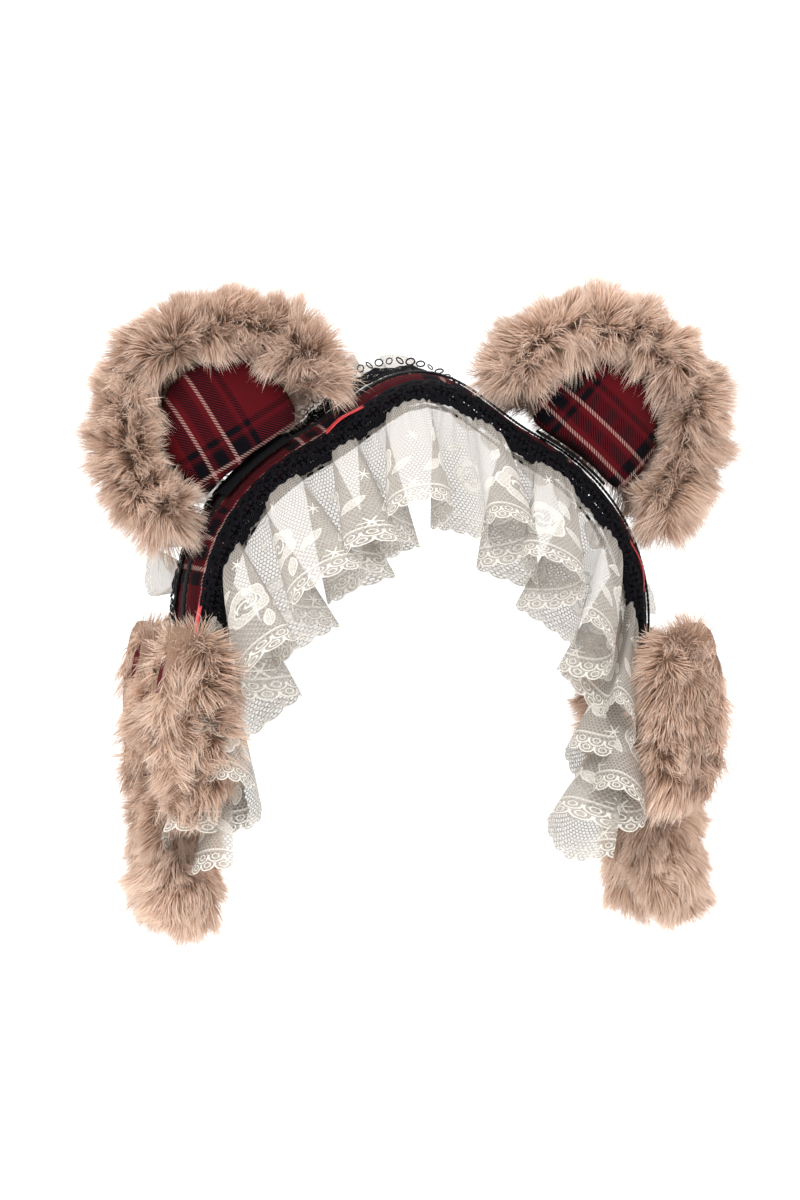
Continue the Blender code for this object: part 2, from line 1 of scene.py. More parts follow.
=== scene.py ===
# %% [markdown]
# # Animal ears headband: furry ears and bows on a tartan band with lace frills
#
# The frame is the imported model: rigid solids on their bodies. This script dresses it. Each soft solid is
# replaced by the real thing: a backing with a pile of combed strands, woven tartan over padding, net lace
# gathered into folds, and narrow black lace with thread loops. Nothing of the frame is moved.

import json
import math

import bmesh
import bpy
import numpy as np
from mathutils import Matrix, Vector
from mathutils.bvhtree import BVHTree
from mathutils.kdtree import KDTree


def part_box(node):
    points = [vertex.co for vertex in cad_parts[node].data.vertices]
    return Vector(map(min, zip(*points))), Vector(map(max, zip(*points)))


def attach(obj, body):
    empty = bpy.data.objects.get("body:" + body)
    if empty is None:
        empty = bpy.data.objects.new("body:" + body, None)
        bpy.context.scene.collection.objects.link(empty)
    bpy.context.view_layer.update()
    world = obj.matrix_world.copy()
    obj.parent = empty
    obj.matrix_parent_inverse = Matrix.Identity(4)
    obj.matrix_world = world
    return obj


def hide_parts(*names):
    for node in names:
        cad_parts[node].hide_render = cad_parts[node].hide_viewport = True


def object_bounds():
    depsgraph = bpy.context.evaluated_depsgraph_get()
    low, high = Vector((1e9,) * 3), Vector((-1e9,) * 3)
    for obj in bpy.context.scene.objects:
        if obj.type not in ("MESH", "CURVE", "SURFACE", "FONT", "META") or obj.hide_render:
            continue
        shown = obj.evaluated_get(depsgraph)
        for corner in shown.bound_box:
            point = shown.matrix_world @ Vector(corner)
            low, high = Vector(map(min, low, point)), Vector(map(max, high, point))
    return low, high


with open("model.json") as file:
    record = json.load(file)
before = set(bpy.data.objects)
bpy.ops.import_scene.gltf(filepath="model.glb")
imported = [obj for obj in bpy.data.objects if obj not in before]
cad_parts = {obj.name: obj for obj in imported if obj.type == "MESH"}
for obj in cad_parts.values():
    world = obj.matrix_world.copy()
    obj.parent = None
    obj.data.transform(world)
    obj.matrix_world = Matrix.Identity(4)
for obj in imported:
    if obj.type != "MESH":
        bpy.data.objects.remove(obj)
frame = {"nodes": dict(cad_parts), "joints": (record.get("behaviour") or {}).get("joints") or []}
cad_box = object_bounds()
MM = 0.001
bpy.ops.object.select_all(action="DESELECT")

# %% [markdown]
# ## Camera, floor and light
# A product like this is shown from the front, a little to one side, with a long lens so that the ears keep
# their proportions. One sweep of pale board is both the floor and the wall behind, so there is no horizon.
# Three large soft lamps and a bright surround give the even light that shows pile and lace.

# %% Camera
VIEW_TURN, VIEW_RISE, VIEW_REACH = math.radians(-13.5), math.radians(1.0), 1.1
VIEW_HEIGHT = 0.432
VIEW_RIGHT = Vector((math.cos(VIEW_TURN), math.sin(VIEW_TURN), 0))
VIEW_CENTRE = VIEW_RIGHT * -6.5 * MM + Vector((0, 0, -71 * MM))

camera = bpy.data.objects.new("camera", bpy.data.cameras.new("camera"))
bpy.context.scene.collection.objects.link(camera)
back = Vector(
    (
        math.sin(VIEW_TURN) * math.cos(VIEW_RISE),
        -math.cos(VIEW_TURN) * math.cos(VIEW_RISE),
        math.sin(VIEW_RISE),
    )
)
camera.location = VIEW_CENTRE + back * VIEW_REACH
camera.rotation_euler = (-back).to_track_quat("-Z", "Y").to_euler()
camera.data.sensor_width = 36
camera.data.lens = 36 * VIEW_REACH / VIEW_HEIGHT
bpy.context.scene.camera = camera
bpy.context.scene.view_settings.view_transform = "Standard"
print(f"camera {camera.data.lens:.0f} mm at {VIEW_REACH} m")

# %% Floor that sweeps up into a wall
FLOOR_Z, FLOOR_HALF = cad_box[0].z - 150 * MM, 3.0
bpy.ops.mesh.primitive_plane_add(size=2 * FLOOR_HALF, location=(0, 0, FLOOR_Z))
floor = bpy.context.active_object
floor.name = "floor"
bpy.ops.object.transform_apply(location=True, rotation=False, scale=False)
bpy.ops.object.mode_set(mode="EDIT")
bpy.ops.mesh.select_all(action="DESELECT")
bpy.ops.object.mode_set(mode="OBJECT")
for edge in floor.data.edges:
    edge.select = all(floor.data.vertices[i].co.y > FLOOR_HALF - MM for i in edge.vertices)
bpy.ops.object.mode_set(mode="EDIT")
bpy.ops.mesh.select_mode(type="EDGE")
bpy.ops.mesh.extrude_region_move(TRANSFORM_OT_translate={"value": (0, 0, 2 * FLOOR_HALF)})
bpy.ops.object.mode_set(mode="OBJECT")
sweep = floor.modifiers.new("sweep", "BEVEL")
sweep.width, sweep.segments = 1.2, 16
bpy.ops.object.modifier_apply(modifier="sweep")
bpy.ops.object.shade_smooth()
board = bpy.data.materials.new("pale_board")
board.use_nodes = True
board_shader = board.node_tree.nodes["Principled BSDF"]
board_shader.inputs["Base Color"].default_value = (0.93, 0.93, 0.93, 1)
board_shader.inputs["Roughness"].default_value = 0.9
board_shader.inputs["Emission Color"].default_value = (1, 1, 1, 1)
board_shader.inputs["Emission Strength"].default_value = 0.3
floor.data.materials.append(board)
print("floor at", round(FLOOR_Z, 3))


# %% Soft lamps and a bright surround
def soft_lamp(name, place, size, power):
    lamp = bpy.data.objects.new(name, bpy.data.lights.new(name, "AREA"))
    lamp.data.shape, lamp.data.size, lamp.data.energy = "DISK", size, power
    lamp.location = place
    lamp.rotation_euler = (VIEW_CENTRE - Vector(place)).to_track_quat("-Z", "Y").to_euler()
    bpy.context.scene.collection.objects.link(lamp)


soft_lamp("key_lamp", (-0.9, -1.1, 1.0), 0.9, 17)
soft_lamp("fill_lamp", (1.1, -1.0, 0.4), 1.0, 4)
soft_lamp("top_lamp", (0.1, 0.6, 1.2), 0.8, 8)
surround = bpy.data.worlds.new("surround")
surround.use_nodes = True
surround.node_tree.nodes["Background"].inputs["Color"].default_value = (1, 1, 1, 1)
surround.node_tree.nodes["Background"].inputs["Strength"].default_value = 0.9
bpy.context.scene.world = surround
print("three lamps and a surround")

# %% [markdown]
# ## Sums as shader nodes
# Lace, twill and fur are patterns of distances, so their materials are mostly arithmetic. A small class
# stands for a value that varies over the surface. Adding or comparing two of them adds the Math node
# that does it, so a pattern reads as a formula, and all of it stays procedural.


# %% Arithmetic that builds Math nodes
class Wire:
    """A value that varies over the surface. Arithmetic on it adds Math nodes to its tree."""

    def __init__(self, tree, socket):
        self.tree, self.socket = tree, socket

    def math(self, operation, *others):
        node = self.tree.nodes.new("ShaderNodeMath")
        node.operation = operation
        for socket, value in zip(node.inputs, (self, *others)):
            if isinstance(value, Wire):
                self.tree.links.new(value.socket, socket)
            else:
                socket.default_value = value
        return Wire(self.tree, node.outputs[0])

    def __add__(self, other):
        return self.math("ADD", other)

    def __sub__(self, other):
        return self.math("SUBTRACT", other)

    def __mul__(self, other):
        return self.math("MULTIPLY", other)

    def __truediv__(self, other):
        return self.math("DIVIDE", other)

    def __abs__(self):
        return self.math("ABSOLUTE")

    def less(self, other):
        return self.math("LESS_THAN", other)

    def more(self, other):
        return self.math("GREATER_THAN", other)

    def most(self, other):
        return self.math("MAXIMUM", other)

    def least(self, other):
        return self.math("MINIMUM", other)

    def wave(self):
        return self.math("SINE")

    def root(self):
        return self.math("SQRT")

    def part(self):
        return self.math("FRACT")

    def line(self, width):
        """1 within this distance of 0, falling off softly to 0 at twice it."""
        node = self.tree.nodes.new("ShaderNodeMapRange")
        node.interpolation_type = "SMOOTHSTEP"
        self.tree.links.new(abs(self).socket, node.inputs["Value"])
        node.inputs["From Min"].default_value = 0.6 * width
        node.inputs["From Max"].default_value = 1.4 * width
        node.inputs["To Min"].default_value, node.inputs["To Max"].default_value = 1, 0
        return Wire(self.tree, node.outputs[0])


def new_material(name, **settings):
    """A material whose shader sockets are set to constants, and its tree and shader."""
    made = bpy.data.materials.new(name)
    made.use_nodes = True
    shader = made.node_tree.nodes["Principled BSDF"]
    for socket, value in settings.items():
        shader.inputs[socket.replace("_", " ")].default_value = value
    return made, made.node_tree, shader


def surface_uv(tree):
    """The two coordinates of a piece's own map."""
    source = tree.nodes.new("ShaderNodeUVMap")
    source.uv_map = "OFBake"
    split = tree.nodes.new("ShaderNodeSeparateXYZ")
    tree.links.new(source.outputs["UV"], split.inputs[0])
    return Wire(tree, split.outputs["X"]), Wire(tree, split.outputs["Y"])


def mix_colours(tree, share, first, second):
    """first where share is 0 and second where it is 1. A colour is three numbers or a socket."""
    node = tree.nodes.new("ShaderNodeMix")
    node.data_type = "RGBA"
    tree.links.new(share.socket, node.inputs[0])
    for socket, value in ((node.inputs[6], first), (node.inputs[7], second)):
        if isinstance(value, tuple):
            socket.default_value = (*value, 1)
        else:
            tree.links.new(value, socket)
    return node.outputs[2]


def multiply_colours(tree, first, second):
    node = tree.nodes.new("ShaderNodeMix")
    node.data_type, node.blend_type = "RGBA", "MULTIPLY"
    node.inputs[0].default_value = 1
    tree.links.new(first, node.inputs[6])
    tree.links.new(second, node.inputs[7])
    return node.outputs[2]


def raise_threads(tree, shader, height, depth):
    """Relief from a height of 0 to 1, this deep in metres."""
    bump = tree.nodes.new("ShaderNodeBump")
    bump.inputs["Distance"].default_value = depth
    bump.inputs["Strength"].default_value = 1
    tree.links.new(height.socket, bump.inputs["Height"])
    tree.links.new(bump.outputs["Normal"], shader.inputs["Normal"])


# %% [markdown]
# ## Fur
# Faux fur is a knitted backing with a pile 11 to 13 mm deep. The tips are pale, the roots greyer and
# browner, and the fibres gather into pointed tufts. Hair particles can't be kept as a mesh, so each strand
# is a narrow tapering ribbon of five faces. Its place across the colour map says how light the strand is
# and its height up the map says how far it is from the root, so one small map colours all of them.


# %% The colour of a strand, from root to tip
def fur_material():
    made, tree, shader = new_material(
        "taupe_fur", Roughness=0.75, Sheen_Weight=0.12, Sheen_Roughness=0.45, Specular_IOR_Level=0.12
    )
    shader.inputs["Sheen Tint"].default_value = (1, 0.93, 0.86, 1)
    tone, up = surface_uv(tree)
    ramp = tree.nodes.new("ShaderNodeValToRGB")
    tree.links.new(up.socket, ramp.inputs["Fac"])
    stops = ramp.color_ramp.elements
    stops[0].position, stops[0].color = 0.0, (0.40, 0.265, 0.19, 1)
    stops[1].position, stops[1].color = 1.0, (1.0, 0.84, 0.72, 1)
    middle = stops.new(0.5)
    middle.color = (0.76, 0.53, 0.395, 1)
    light = mix_colours(tree, tone, (0.70, 0.66, 0.64), (1.0, 1.0, 1.0))
    tree.links.new(multiply_colours(tree, ramp.outputs["Color"], light), shader.inputs["Base Color"])
    return made


FUR = fur_material()
print("material", FUR.name)


# %% Meshes from arrays
def mesh_object(name, points, faces, uv=None, look=None):
    """An object from points (n, 3), faces given as one array for each number of corners, and a map."""
    mesh = bpy.data.meshes.new(name)
    corners = np.concatenate([f.ravel() for f in faces])
    sizes = np.concatenate([np.full(len(f), f.shape[1]) for f in faces])
    mesh.vertices.add(len(points))
    mesh.vertices.foreach_set("co", np.asarray(points, np.float32).ravel())
    mesh.loops.add(len(corners))
    mesh.loops.foreach_set("vertex_index", corners.astype(np.int32))
    mesh.polygons.add(len(sizes))
    starts = np.concatenate([[0], np.cumsum(sizes)[:-1]])
    mesh.polygons.foreach_set("loop_start", starts.astype(np.int32))
    mesh.update(calc_edges=True)
    mesh.polygons.foreach_set("use_smooth", np.ones(len(sizes), bool))
    if uv is not None:
        layer = mesh.uv_layers.new(name="OFBake")
        layer.data.foreach_set("uv", np.asarray(uv, np.float32)[corners].ravel())
    if look:
        mesh.materials.append(look)
    made = bpy.data.objects.new(name, mesh)
    bpy.context.scene.collection.objects.link(made)
    return made


def grid_faces(rows, columns, closed=False):
    """Quads of a grid of points, row by row. closed joins the last column to the first."""
    across = columns if closed else columns - 1
    i, j = np.meshgrid(np.arange(rows - 1), np.arange(across), indexing="ij")
    i, j = i.ravel(), j.ravel()
    right = (j + 1) % columns
    return np.stack(
        [i * columns + j, i * columns + right, (i + 1) * columns + right, (i + 1) * columns + j], 1
    )


def apply_modifiers(target):
    bpy.context.view_layer.update()
    graph = bpy.context.evaluated_depsgraph_get()
    mesh = bpy.data.meshes.new_from_object(target.evaluated_get(graph), depsgraph=graph)
    target.modifiers.clear()
    target.data = mesh


def unit(vectors):
    return vectors / np.maximum(np.linalg.norm(vectors, axis=-1, keepdims=True), 1e-12)


def points_of(target, kind="co"):
    """The points of a mesh, or with kind="normal" the directions in which they face."""
    values = np.zeros(len(target.data.vertices) * 3, np.float32)
    target.data.vertices.foreach_get(kind, values)
    return values.reshape(-1, 3).astype(float)


def place_points(target, points):
    target.data.vertices.foreach_set("co", np.asarray(points, np.float32).ravel())
    target.data.update()


# %% The backing of a furry piece
def even_copy(name, nodes, voxel):
    """One closed skin of these CAD solids, merged and remeshed evenly."""
    joined = bmesh.new()
    for node in nodes:
        joined.from_mesh(frame["nodes"][node].data)
    bmesh.ops.remove_doubles(joined, verts=joined.verts, dist=0.01 * MM)
    mesh = bpy.data.meshes.new(name)
    joined.to_mesh(mesh)
    joined.free()
    made = bpy.data.objects.new(name, mesh)
    bpy.context.scene.collection.objects.link(made)
    remesh = made.modifiers.new("even", "REMESH")
    remesh.mode, remesh.voxel_size, remesh.use_smooth_shade = "VOXEL", voxel, True
    apply_modifiers(made)
    return made


def soften(target, times, factor):
    smooth = target.modifiers.new("soften", "SMOOTH")
    smooth.iterations, smooth.factor = times, factor
    apply_modifiers(target)


def backing(name, node, inset, voxel):
    """The knitted skin under the pile: a CAD solid drawn in by this much and smoothed."""
    made = even_copy(name, [node], voxel)
    soften(made, 6, 0.6)
    place_points(made, points_of(made) - points_of(made, "normal") * inset)
    soften(made, 4, 0.5)
    return made


# %% Strands
def waves(points, size, seed, count=3):
    """Smooth random values, count for each point, that change over about this size."""
    random = np.random.default_rng(seed)
    total = np.zeros((len(points), count))
    for _ in range(7):
        turn = unit(random.normal(size=(count, 3))) * random.uniform(0.6, 1.6, (count, 1))
        total += np.sin(points @ turn.T * (2 * math.pi / size) + random.uniform(0, 6.3, count))
    return total / math.sqrt(7 / 2) * 0.7


def waves_along(runs, size, seed, count=3):
    """The same for distances along a line."""
    return waves(np.stack([runs, runs * 0, runs * 0], 1), size, seed, count)


def surface_of(node):
    """A CAD node's surface, to test strands against."""
    mesh = frame["nodes"][node].data
    return BVHTree.FromPolygons([v.co for v in mesh.vertices], [p.vertices for p in mesh.polygons])


BAND_SURFACE, BAND_MARGIN = surface_of("tartan_cover"), 0.5 * MM
STRAND_WIDTH, TUFT = 0.3 * MM, 15  # a strand's width at its root, and how many strands lean together
STRAND_STEPS = np.array([0.0, 0.36, 0.72, 1.0])
STRAND_TAPER = np.array([1.0, 0.9, 0.6])


def pile(name, skin, count, length, comb, seed):
    """A coat of strands rooted on a skin. comb(points) gives the way that the pile is brushed."""
    random = np.random.default_rng(seed)
    mesh = skin.data
    mesh.calc_loop_triangles()
    corners = np.zeros(len(mesh.loop_triangles) * 3, np.int32)
    mesh.loop_triangles.foreach_get("vertices", corners)
    corners = corners.reshape(-1, 3)
    place, outward = points_of(skin), points_of(skin, "normal")
    a, b, c = (place[corners[:, k]] for k in range(3))
    area = np.linalg.norm(np.cross(b - a, c - a), axis=1)
    chosen = random.choice(len(area), count, p=area / area.sum())
    s, t = random.random((2, count))
    s, t = np.where(s + t > 1, 1 - s, s), np.where(s + t > 1, 1 - t, t)
    share = np.stack([1 - s - t, s, t], 1)[:, :, None]
    roots = (place[corners[chosen]] * share).sum(1)
    normals = unit((outward[corners[chosen]] * share).sum(1))

    along = unit(
        normals
        + comb(roots)
        + 0.42 * waves(roots, 26 * MM, seed + 1)
        + 0.20 * waves(roots, 9 * MM, seed + 2)
        + 0.16 * random.normal(size=(count, 3))
    )
    reach = length * (1 + 0.16 * waves(roots, 14 * MM, seed + 3, 1)[:, 0])
    reach = np.minimum(reach * random.uniform(0.72, 1.12, count), 1.12 * length)
    for i in range(count):
        hit = BAND_SURFACE.ray_cast(Vector(roots[i]), Vector(along[i]), reach[i] + BAND_MARGIN)[3]
        if hit is not None:
            reach[i] = max(hit - BAND_MARGIN, 0.65 * reach[i])
    bend = 0.22 * waves(roots, 12 * MM, seed + 4) + 0.10 * random.normal(size=(count, 3))
    bend[:, 2] -= 0.12

    line = (
        roots[:, None]
        + along[:, None] * (reach[:, None] * STRAND_STEPS)[:, :, None]
        + bend[:, None] * (reach[:, None] * STRAND_STEPS**2)[:, :, None]
    )
    leaders = random.choice(count, count // TUFT, replace=False)
    tree = KDTree(len(leaders))
    for i, leader in enumerate(leaders):
        tree.insert(roots[leader], i)
    tree.balance()
    own = leaders[[tree.find(r)[1] for r in roots]]
    pull = random.uniform(0.2, 0.75, count)[:, None] * STRAND_STEPS**1.4
    line += (line[own] - line) * pull[:, :, None]

    way = unit(line[:, 3] - line[:, 0])
    side = unit(np.cross(way, normals + 0.7 * random.normal(size=(count, 3))))
    half = 0.5 * STRAND_WIDTH * random.uniform(0.75, 1.25, count)
    left = line[:, :3] - side[:, None] * (half[:, None] * STRAND_TAPER)[:, :, None]
    right = line[:, :3] + side[:, None] * (half[:, None] * STRAND_TAPER)[:, :, None]
    points = np.concatenate([left, right, line[:, 3:]], 1).reshape(-1, 3)
    base = (np.arange(count) * 7)[:, None]
    quads = np.concatenate([base + [0, 3, 4, 1], base + [1, 4, 5, 2]])
    tone = 0.5 + 0.28 * waves(roots, 20 * MM, seed + 5, 1)[:, 0] + 0.16 * random.normal(size=count)
    tone = np.clip(tone, 0.02, 0.96)
    uv = np.zeros((count, 7, 2))
    uv[:, :, 0] = tone[:, None] + np.array([0, 0, 0, 0.02, 0.02, 0.02, 0.01])
    uv[:, :, 1] = 0.02 + 0.96 * STRAND_STEPS[[0, 1, 2, 0, 1, 2, 3]]
    return mesh_object(name, points, [quads, base + [2, 5, 6]], uv.reshape(-1, 2), FUR)


def dress_in_fur(piece, body, nodes, count, length, comb, seed, inset, voxel):
    """A backing and its pile in place of the first node, and of what it hides, riding on a body."""
    skin = backing(f"{piece}_backing", nodes[0], inset, voxel)
    skin.data.materials.append(FUR)
    coat = pile(f"{piece}_pile", skin, count, length, comb, seed)
    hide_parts(*nodes)
    for made in (skin, coat):
        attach(made, body)
    return len(coat.data.polygons)


print("fur tools ready")

# %% [markdown]
# ## The ears
# An ear is a stuffed disc: a plain fur back, a fat rolled rim of fur, and in the rim's hollow a puffed
# panel of tartan. The rim's pile is brushed out from the ear's middle, so at the inner edge it stands up
# and falls over the edge of the tartan. The frame's rocking axis gives each ear its own directions.


# %% Where each ear stands
def hinge_frame(joint_name):
    """The turning axis of a joint: its place, its own direction, the rear and up."""
    joint = next(j for j in frame["joints"] if j["name"] == joint_name)
    along = Vector(joint["axis"]).normalized()
    rear = Vector((0, 1, 0))
    return Vector(joint["pos_m"]), along, rear, along.cross(rear)


EAR_MIDDLE_RISE = 4 * MM
EARS = {}
for ear in ("left", "right"):
    seat, along, rear, up = hinge_frame(f"ear_{ear}_rock")
    EARS[ear] = {"middle": seat + up * EAR_MIDDLE_RISE, "along": along, "rear": rear, "up": up}


def comb_from(middle, spread, lean):
    """A pile brushed away from a point, and leaning."""
    middle, lean = np.array(middle), np.array(lean)
    return lambda points: spread * unit(points - middle) + lean


# Each coat: name, number of strands, their length, the voxel of its skin, how far it spreads from the
# ear's middle, which way it leans, and its seed. The edge wire is sewn inside the back.
EAR_COATS = (
    ("rim", 38000, 13 * MM, 1.6 * MM, 0.42, (0, -0.12, -0.12), 10, ()),
    ("back", 26000, 12.5 * MM, 2 * MM, 0.5, (0, 0, -0.25), 20, ("wire",)),
)
EAR_PILE_INSET, BOW_PILE_LENGTH = 5.5 * MM, 11.5 * MM


# %% Fur of the ears
for n, (ear, place) in enumerate(EARS.items()):
    for coat, count, length, voxel, spread, lean, seed, hidden in EAR_COATS:
        nodes = [f"ear_{ear}_fur_{coat}", *(f"ear_{ear}_{inside}" for inside in hidden)]
        faces = dress_in_fur(
            f"ear_{ear}_{coat}", f"ear_{ear}", nodes, count, length,
            comb_from(place["middle"], spread, lean), seed + n, EAR_PILE_INSET, voxel,
        )
        print(ear, "ear", coat, "fur:", faces, "faces")

# %% [markdown]
# ## The bows at the sides
# Each bow is a furry knot, two stuffed loops that stand out in front of and behind it, and two tails. A
# slit in the outer side of a loop shows its tartan lining. The pile is brushed away from the knot, and
# down the tails.


# %% Fur of the bows
def comb_along(*way):
    """A pile brushed one way all over."""
    return lambda points: np.broadcast_to(np.array(way), points.shape)


# Each piece: name, number of strands, how far its skin is drawn in, which way the pile is brushed to the
# rear and up, and its own body's ending.
BOW_PIECES = (
    ("knot", 9000, 4.5 * MM, (0, -0.25), ""),
    ("front_loop", 26000, 5.0 * MM, (-0.35, -0.45), ""),
    ("rear_loop", 20000, 5.0 * MM, (0.35, -0.45), ""),
    ("front_tail", 17000, 5.0 * MM, (-0.15, -0.75), "_front_tail"),
    ("rear_tail", 16000, 5.0 * MM, (0.15, -0.75), "_rear_tail"),
)
BRUSHED_OUT = 0.15
for n, bow in enumerate(("left", "right")):
    out = -1 if bow == "left" else 1
    for m, (part, count, inset, brushed, own_body) in enumerate(BOW_PIECES):
        node = f"bow_{bow}_{part}"
        dress_in_fur(
            node, f"bow_{bow}{own_body}", [node], count, BOW_PILE_LENGTH,
            comb_along(out * BRUSHED_OUT, *brushed), 40 + 10 * n + m, inset, 1.8 * MM,
        )
    print(bow, "bow dressed in fur")

# %% [markdown]
# ## Tartan
# The tartan is a twill: each thread goes over two and under two, one step further along on each row, which
# gives the fine diagonal. Stripes of thread run both ways, so where a black stripe crosses red cloth half of
# the threads stay red. Deep red is the ground, with broad black bands, and pale double lines near them.
# The map of a tartan piece counts repeats of the pattern, 52 mm each.

# %% Twill as a group: which thread is on top, and how high
SETT = 52 * MM


def twill_group():
    """Inputs are thread counts along both ways. Puts out 1 where the first set is on top, and the height."""
    group = bpy.data.node_groups.new("twill_weave", "ShaderNodeTree")
    for socket in ("Along", "Across"):
        group.interface.new_socket(socket, in_out="INPUT", socket_type="NodeSocketFloat")
    for socket in ("On Top", "Height"):
        group.interface.new_socket(socket, in_out="OUTPUT", socket_type="NodeSocketFloat")
    enter, leave = group.nodes.new("NodeGroupInput"), group.nodes.new("NodeGroupOutput")
    along, across = (Wire(group, enter.outputs[i]) for i in (0, 1))
    step = along.math("FLOOR") + across.math("FLOOR")
    on_top = (step * 0.25).part().less(0.5)
    ridge_a = (across.part() * math.pi).wave()
    ridge_b = (along.part() * math.pi).wave()
    height = on_top * (ridge_a - ridge_b) + ridge_b
    group.links.new(on_top.socket, leave.inputs["On Top"])
    group.links.new(height.socket, leave.inputs["Height"])
    return group


TWILL = twill_group()


def twill(tree, along, across):
    node = tree.nodes.new("ShaderNodeGroup")
    node.node_tree = TWILL
    tree.links.new(along.socket, node.inputs["Along"])
    tree.links.new(across.socket, node.inputs["Across"])
    return Wire(tree, node.outputs["On Top"]), Wire(tree, node.outputs["Height"])


# %% Tartan cloth
RED, DEEP_BLACK, PALE_LINE = (0.112, 0.0065, 0.0105), (0.004, 0.004, 0.006), (0.50, 0.30, 0.26)
THREADS = 176


def stripes(tree, place):
    """The colour of one set of threads, by its place across the repeat."""
    colour = RED
    for centre, half in ((0.035, 0.048), (0.195, 0.044), (0.355, 0.062), (0.47, 0.022)):
        colour = mix_colours(tree, (place - centre).line(half), colour, DEEP_BLACK)
    for centre in (0.10, 0.29):
        colour = mix_colours(tree, (place - centre).line(0.0125), colour, PALE_LINE)
    return colour


def tartan_material():
    made, tree, shader = new_material(
        "tartan_twill", Roughness=0.9, Sheen_Weight=0.02, Sheen_Roughness=0.5, Specular_IOR_Level=0.03
    )
    u, v = surface_uv(tree)
    u, v = u.part(), v.part()
    on_top, height = twill(tree, u * THREADS, v * THREADS)
    cloth = mix_colours(tree, on_top, stripes(tree, u), stripes(tree, v))
    # Painted shade: the cloth's colour is darkened where the threads dip, in the hollows of the weave.
    shade = mix_colours(tree, height * 0.45 + 0.62, (0, 0, 0), (1, 1, 1))
    tree.links.new(multiply_colours(tree, cloth, shade), shader.inputs["Base Color"])
    raise_threads(tree, shader, height, 0.12 * MM)
    return made


TARTAN = tartan_material()
print("material", TARTAN.name)

# %% [markdown]
# ## Puffed panels
# The middle of an ear is tartan over stuffing. A panel is remeshed from its solid and blown up a little
# by cloth simulation with pressure inside, as a cushion is, then subdivided. The tartan lies straight up
# the ear, one pale line along the seam with the band.


# %% A padded panel by cloth simulation
def puff(target, pressure, most, frames=20):
    """Blows a closed mesh up with Cloth, and caps how far a point may move."""
    before = points_of(target)
    cloth = target.modifiers.new("puff", "CLOTH")
    cloth.settings.use_pressure = True
    cloth.settings.uniform_pressure_force = pressure
    cloth.settings.effector_weights.gravity = 0
    cloth.settings.quality = 6
    cloth.point_cache.frame_start, cloth.point_cache.frame_end = 1, frames
    for step in range(1, frames + 1):
        bpy.context.scene.frame_set(step)
    graph = bpy.context.evaluated_depsgraph_get()
    moved = np.array([v.co for v in target.evaluated_get(graph).data.vertices], float)
    target.modifiers.clear()
    bpy.context.scene.frame_set(1)
    shift = moved - before
    far = np.linalg.norm(shift, axis=1, keepdims=True)
    place_points(target, before + shift * np.minimum(1, most / np.maximum(far, 1e-9)))
    fine = target.modifiers.new("fine", "SUBSURF")
    fine.levels = fine.render_levels = 1
    apply_modifiers(target)


def flat_map(target, middle, along, up, shift):
    """Maps a piece straight through from one side, in repeats of the pattern."""
    place = points_of(target) - np.array(middle)
    uv = np.stack([place @ np.array(way) / SETT for way in (along, up)], 1) + shift
    mesh = target.data
    corners = np.zeros(len(mesh.loops), np.int32)
    mesh.loops.foreach_get("vertex_index", corners)
    layer = mesh.uv_layers.get("OFBake") or mesh.uv_layers.new(name="OFBake")
    layer.data.foreach_set("uv", uv[corners].astype(np.float32).ravel())


def finish_panel(panel, body, fill, *nodes):
    panel.data.materials.clear()
    panel.data.materials.append(TARTAN)
    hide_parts(*nodes)
    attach(panel, body)


# %% Panels of the ears
TARTAN_SHIFT = {"left": (0.36, 0.50), "right": (0.68, 0.27)}
CREASE_SIZE, CREASE_DEPTH = 17 * MM, 0.5 * MM
for ear, place in EARS.items():
    nodes = [f"ear_{ear}_tartan_panel", f"ear_{ear}_stuffing"]
    panel = even_copy(f"ear_{ear}_panel", nodes, 2.2 * MM)
    puff(panel, 4, 5 * MM)
    points = points_of(panel)
    crease = waves(points, CREASE_SIZE, 5, 1) * CREASE_DEPTH
    place_points(panel, points + points_of(panel, "normal") * crease)
    flat_map(panel, place["middle"], place["along"], place["up"], TARTAN_SHIFT[ear])
    finish_panel(panel, f"ear_{ear}", 0.8, *nodes)
    print(ear, "ear panel:", len(panel.data.polygons), "faces")

# %% Panels in the slits of the loops
LOOP_SHIFT, PANEL_SUNK = (0.9, 0.6), 3.5 * MM
for bow in ("left", "right"):
    inwards = np.array([PANEL_SUNK if bow == "left" else -PANEL_SUNK, 0, 0])
    for part in ("front", "rear"):
        nodes = [f"bow_{bow}_{part}_tartan_panel", f"bow_{bow}_{part}_stuffing"]
        panel = even_copy(f"bow_{bow}_{part}_panel", nodes, 2.0 * MM)
        puff(panel, 3, 2 * MM, 12)
        place_points(panel, points_of(panel) + inwards)
        middle = (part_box(nodes[0])[0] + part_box(nodes[0])[1]) / 2
        flat_map(panel, middle, (0, 1, 0), (0, 0, 1), LOOP_SHIFT)
        finish_panel(panel, f"bow_{bow}", 0.7, *nodes)
print("loop panels done")

# %% [markdown]
# ## The band
# The band is a flat plastic hoop with foam over it, in a sleeve of tartan that is lined with black felt.
# Everything on it follows one arch: a soft peak at the crown, sloping shoulders and nearly straight sides.
# Each place is given by the distance along the arch, the distance across the band, and the height above
# its inner face. Strips and frills are drawn as grids on those three numbers, because they
# curve two ways at once, and the sleeve's map follows its length.

# %% The arch
CROWN_FLAT, SHOULDER, SHOULDER_SLOPE, SHOULDER_PULL = 13, (40, -22.5), math.radians(28), 21
SIDE, SIDE_PULL, END, END_LEAN, END_PULL = (74, -78), 27, (65, -148), math.radians(13), 26
CROWN_SPLAY, SIDE_SPLAY, END_SPLAY = (math.radians(angle) for angle in (10, 15, 6))
BAND_WIDTH = 30.0


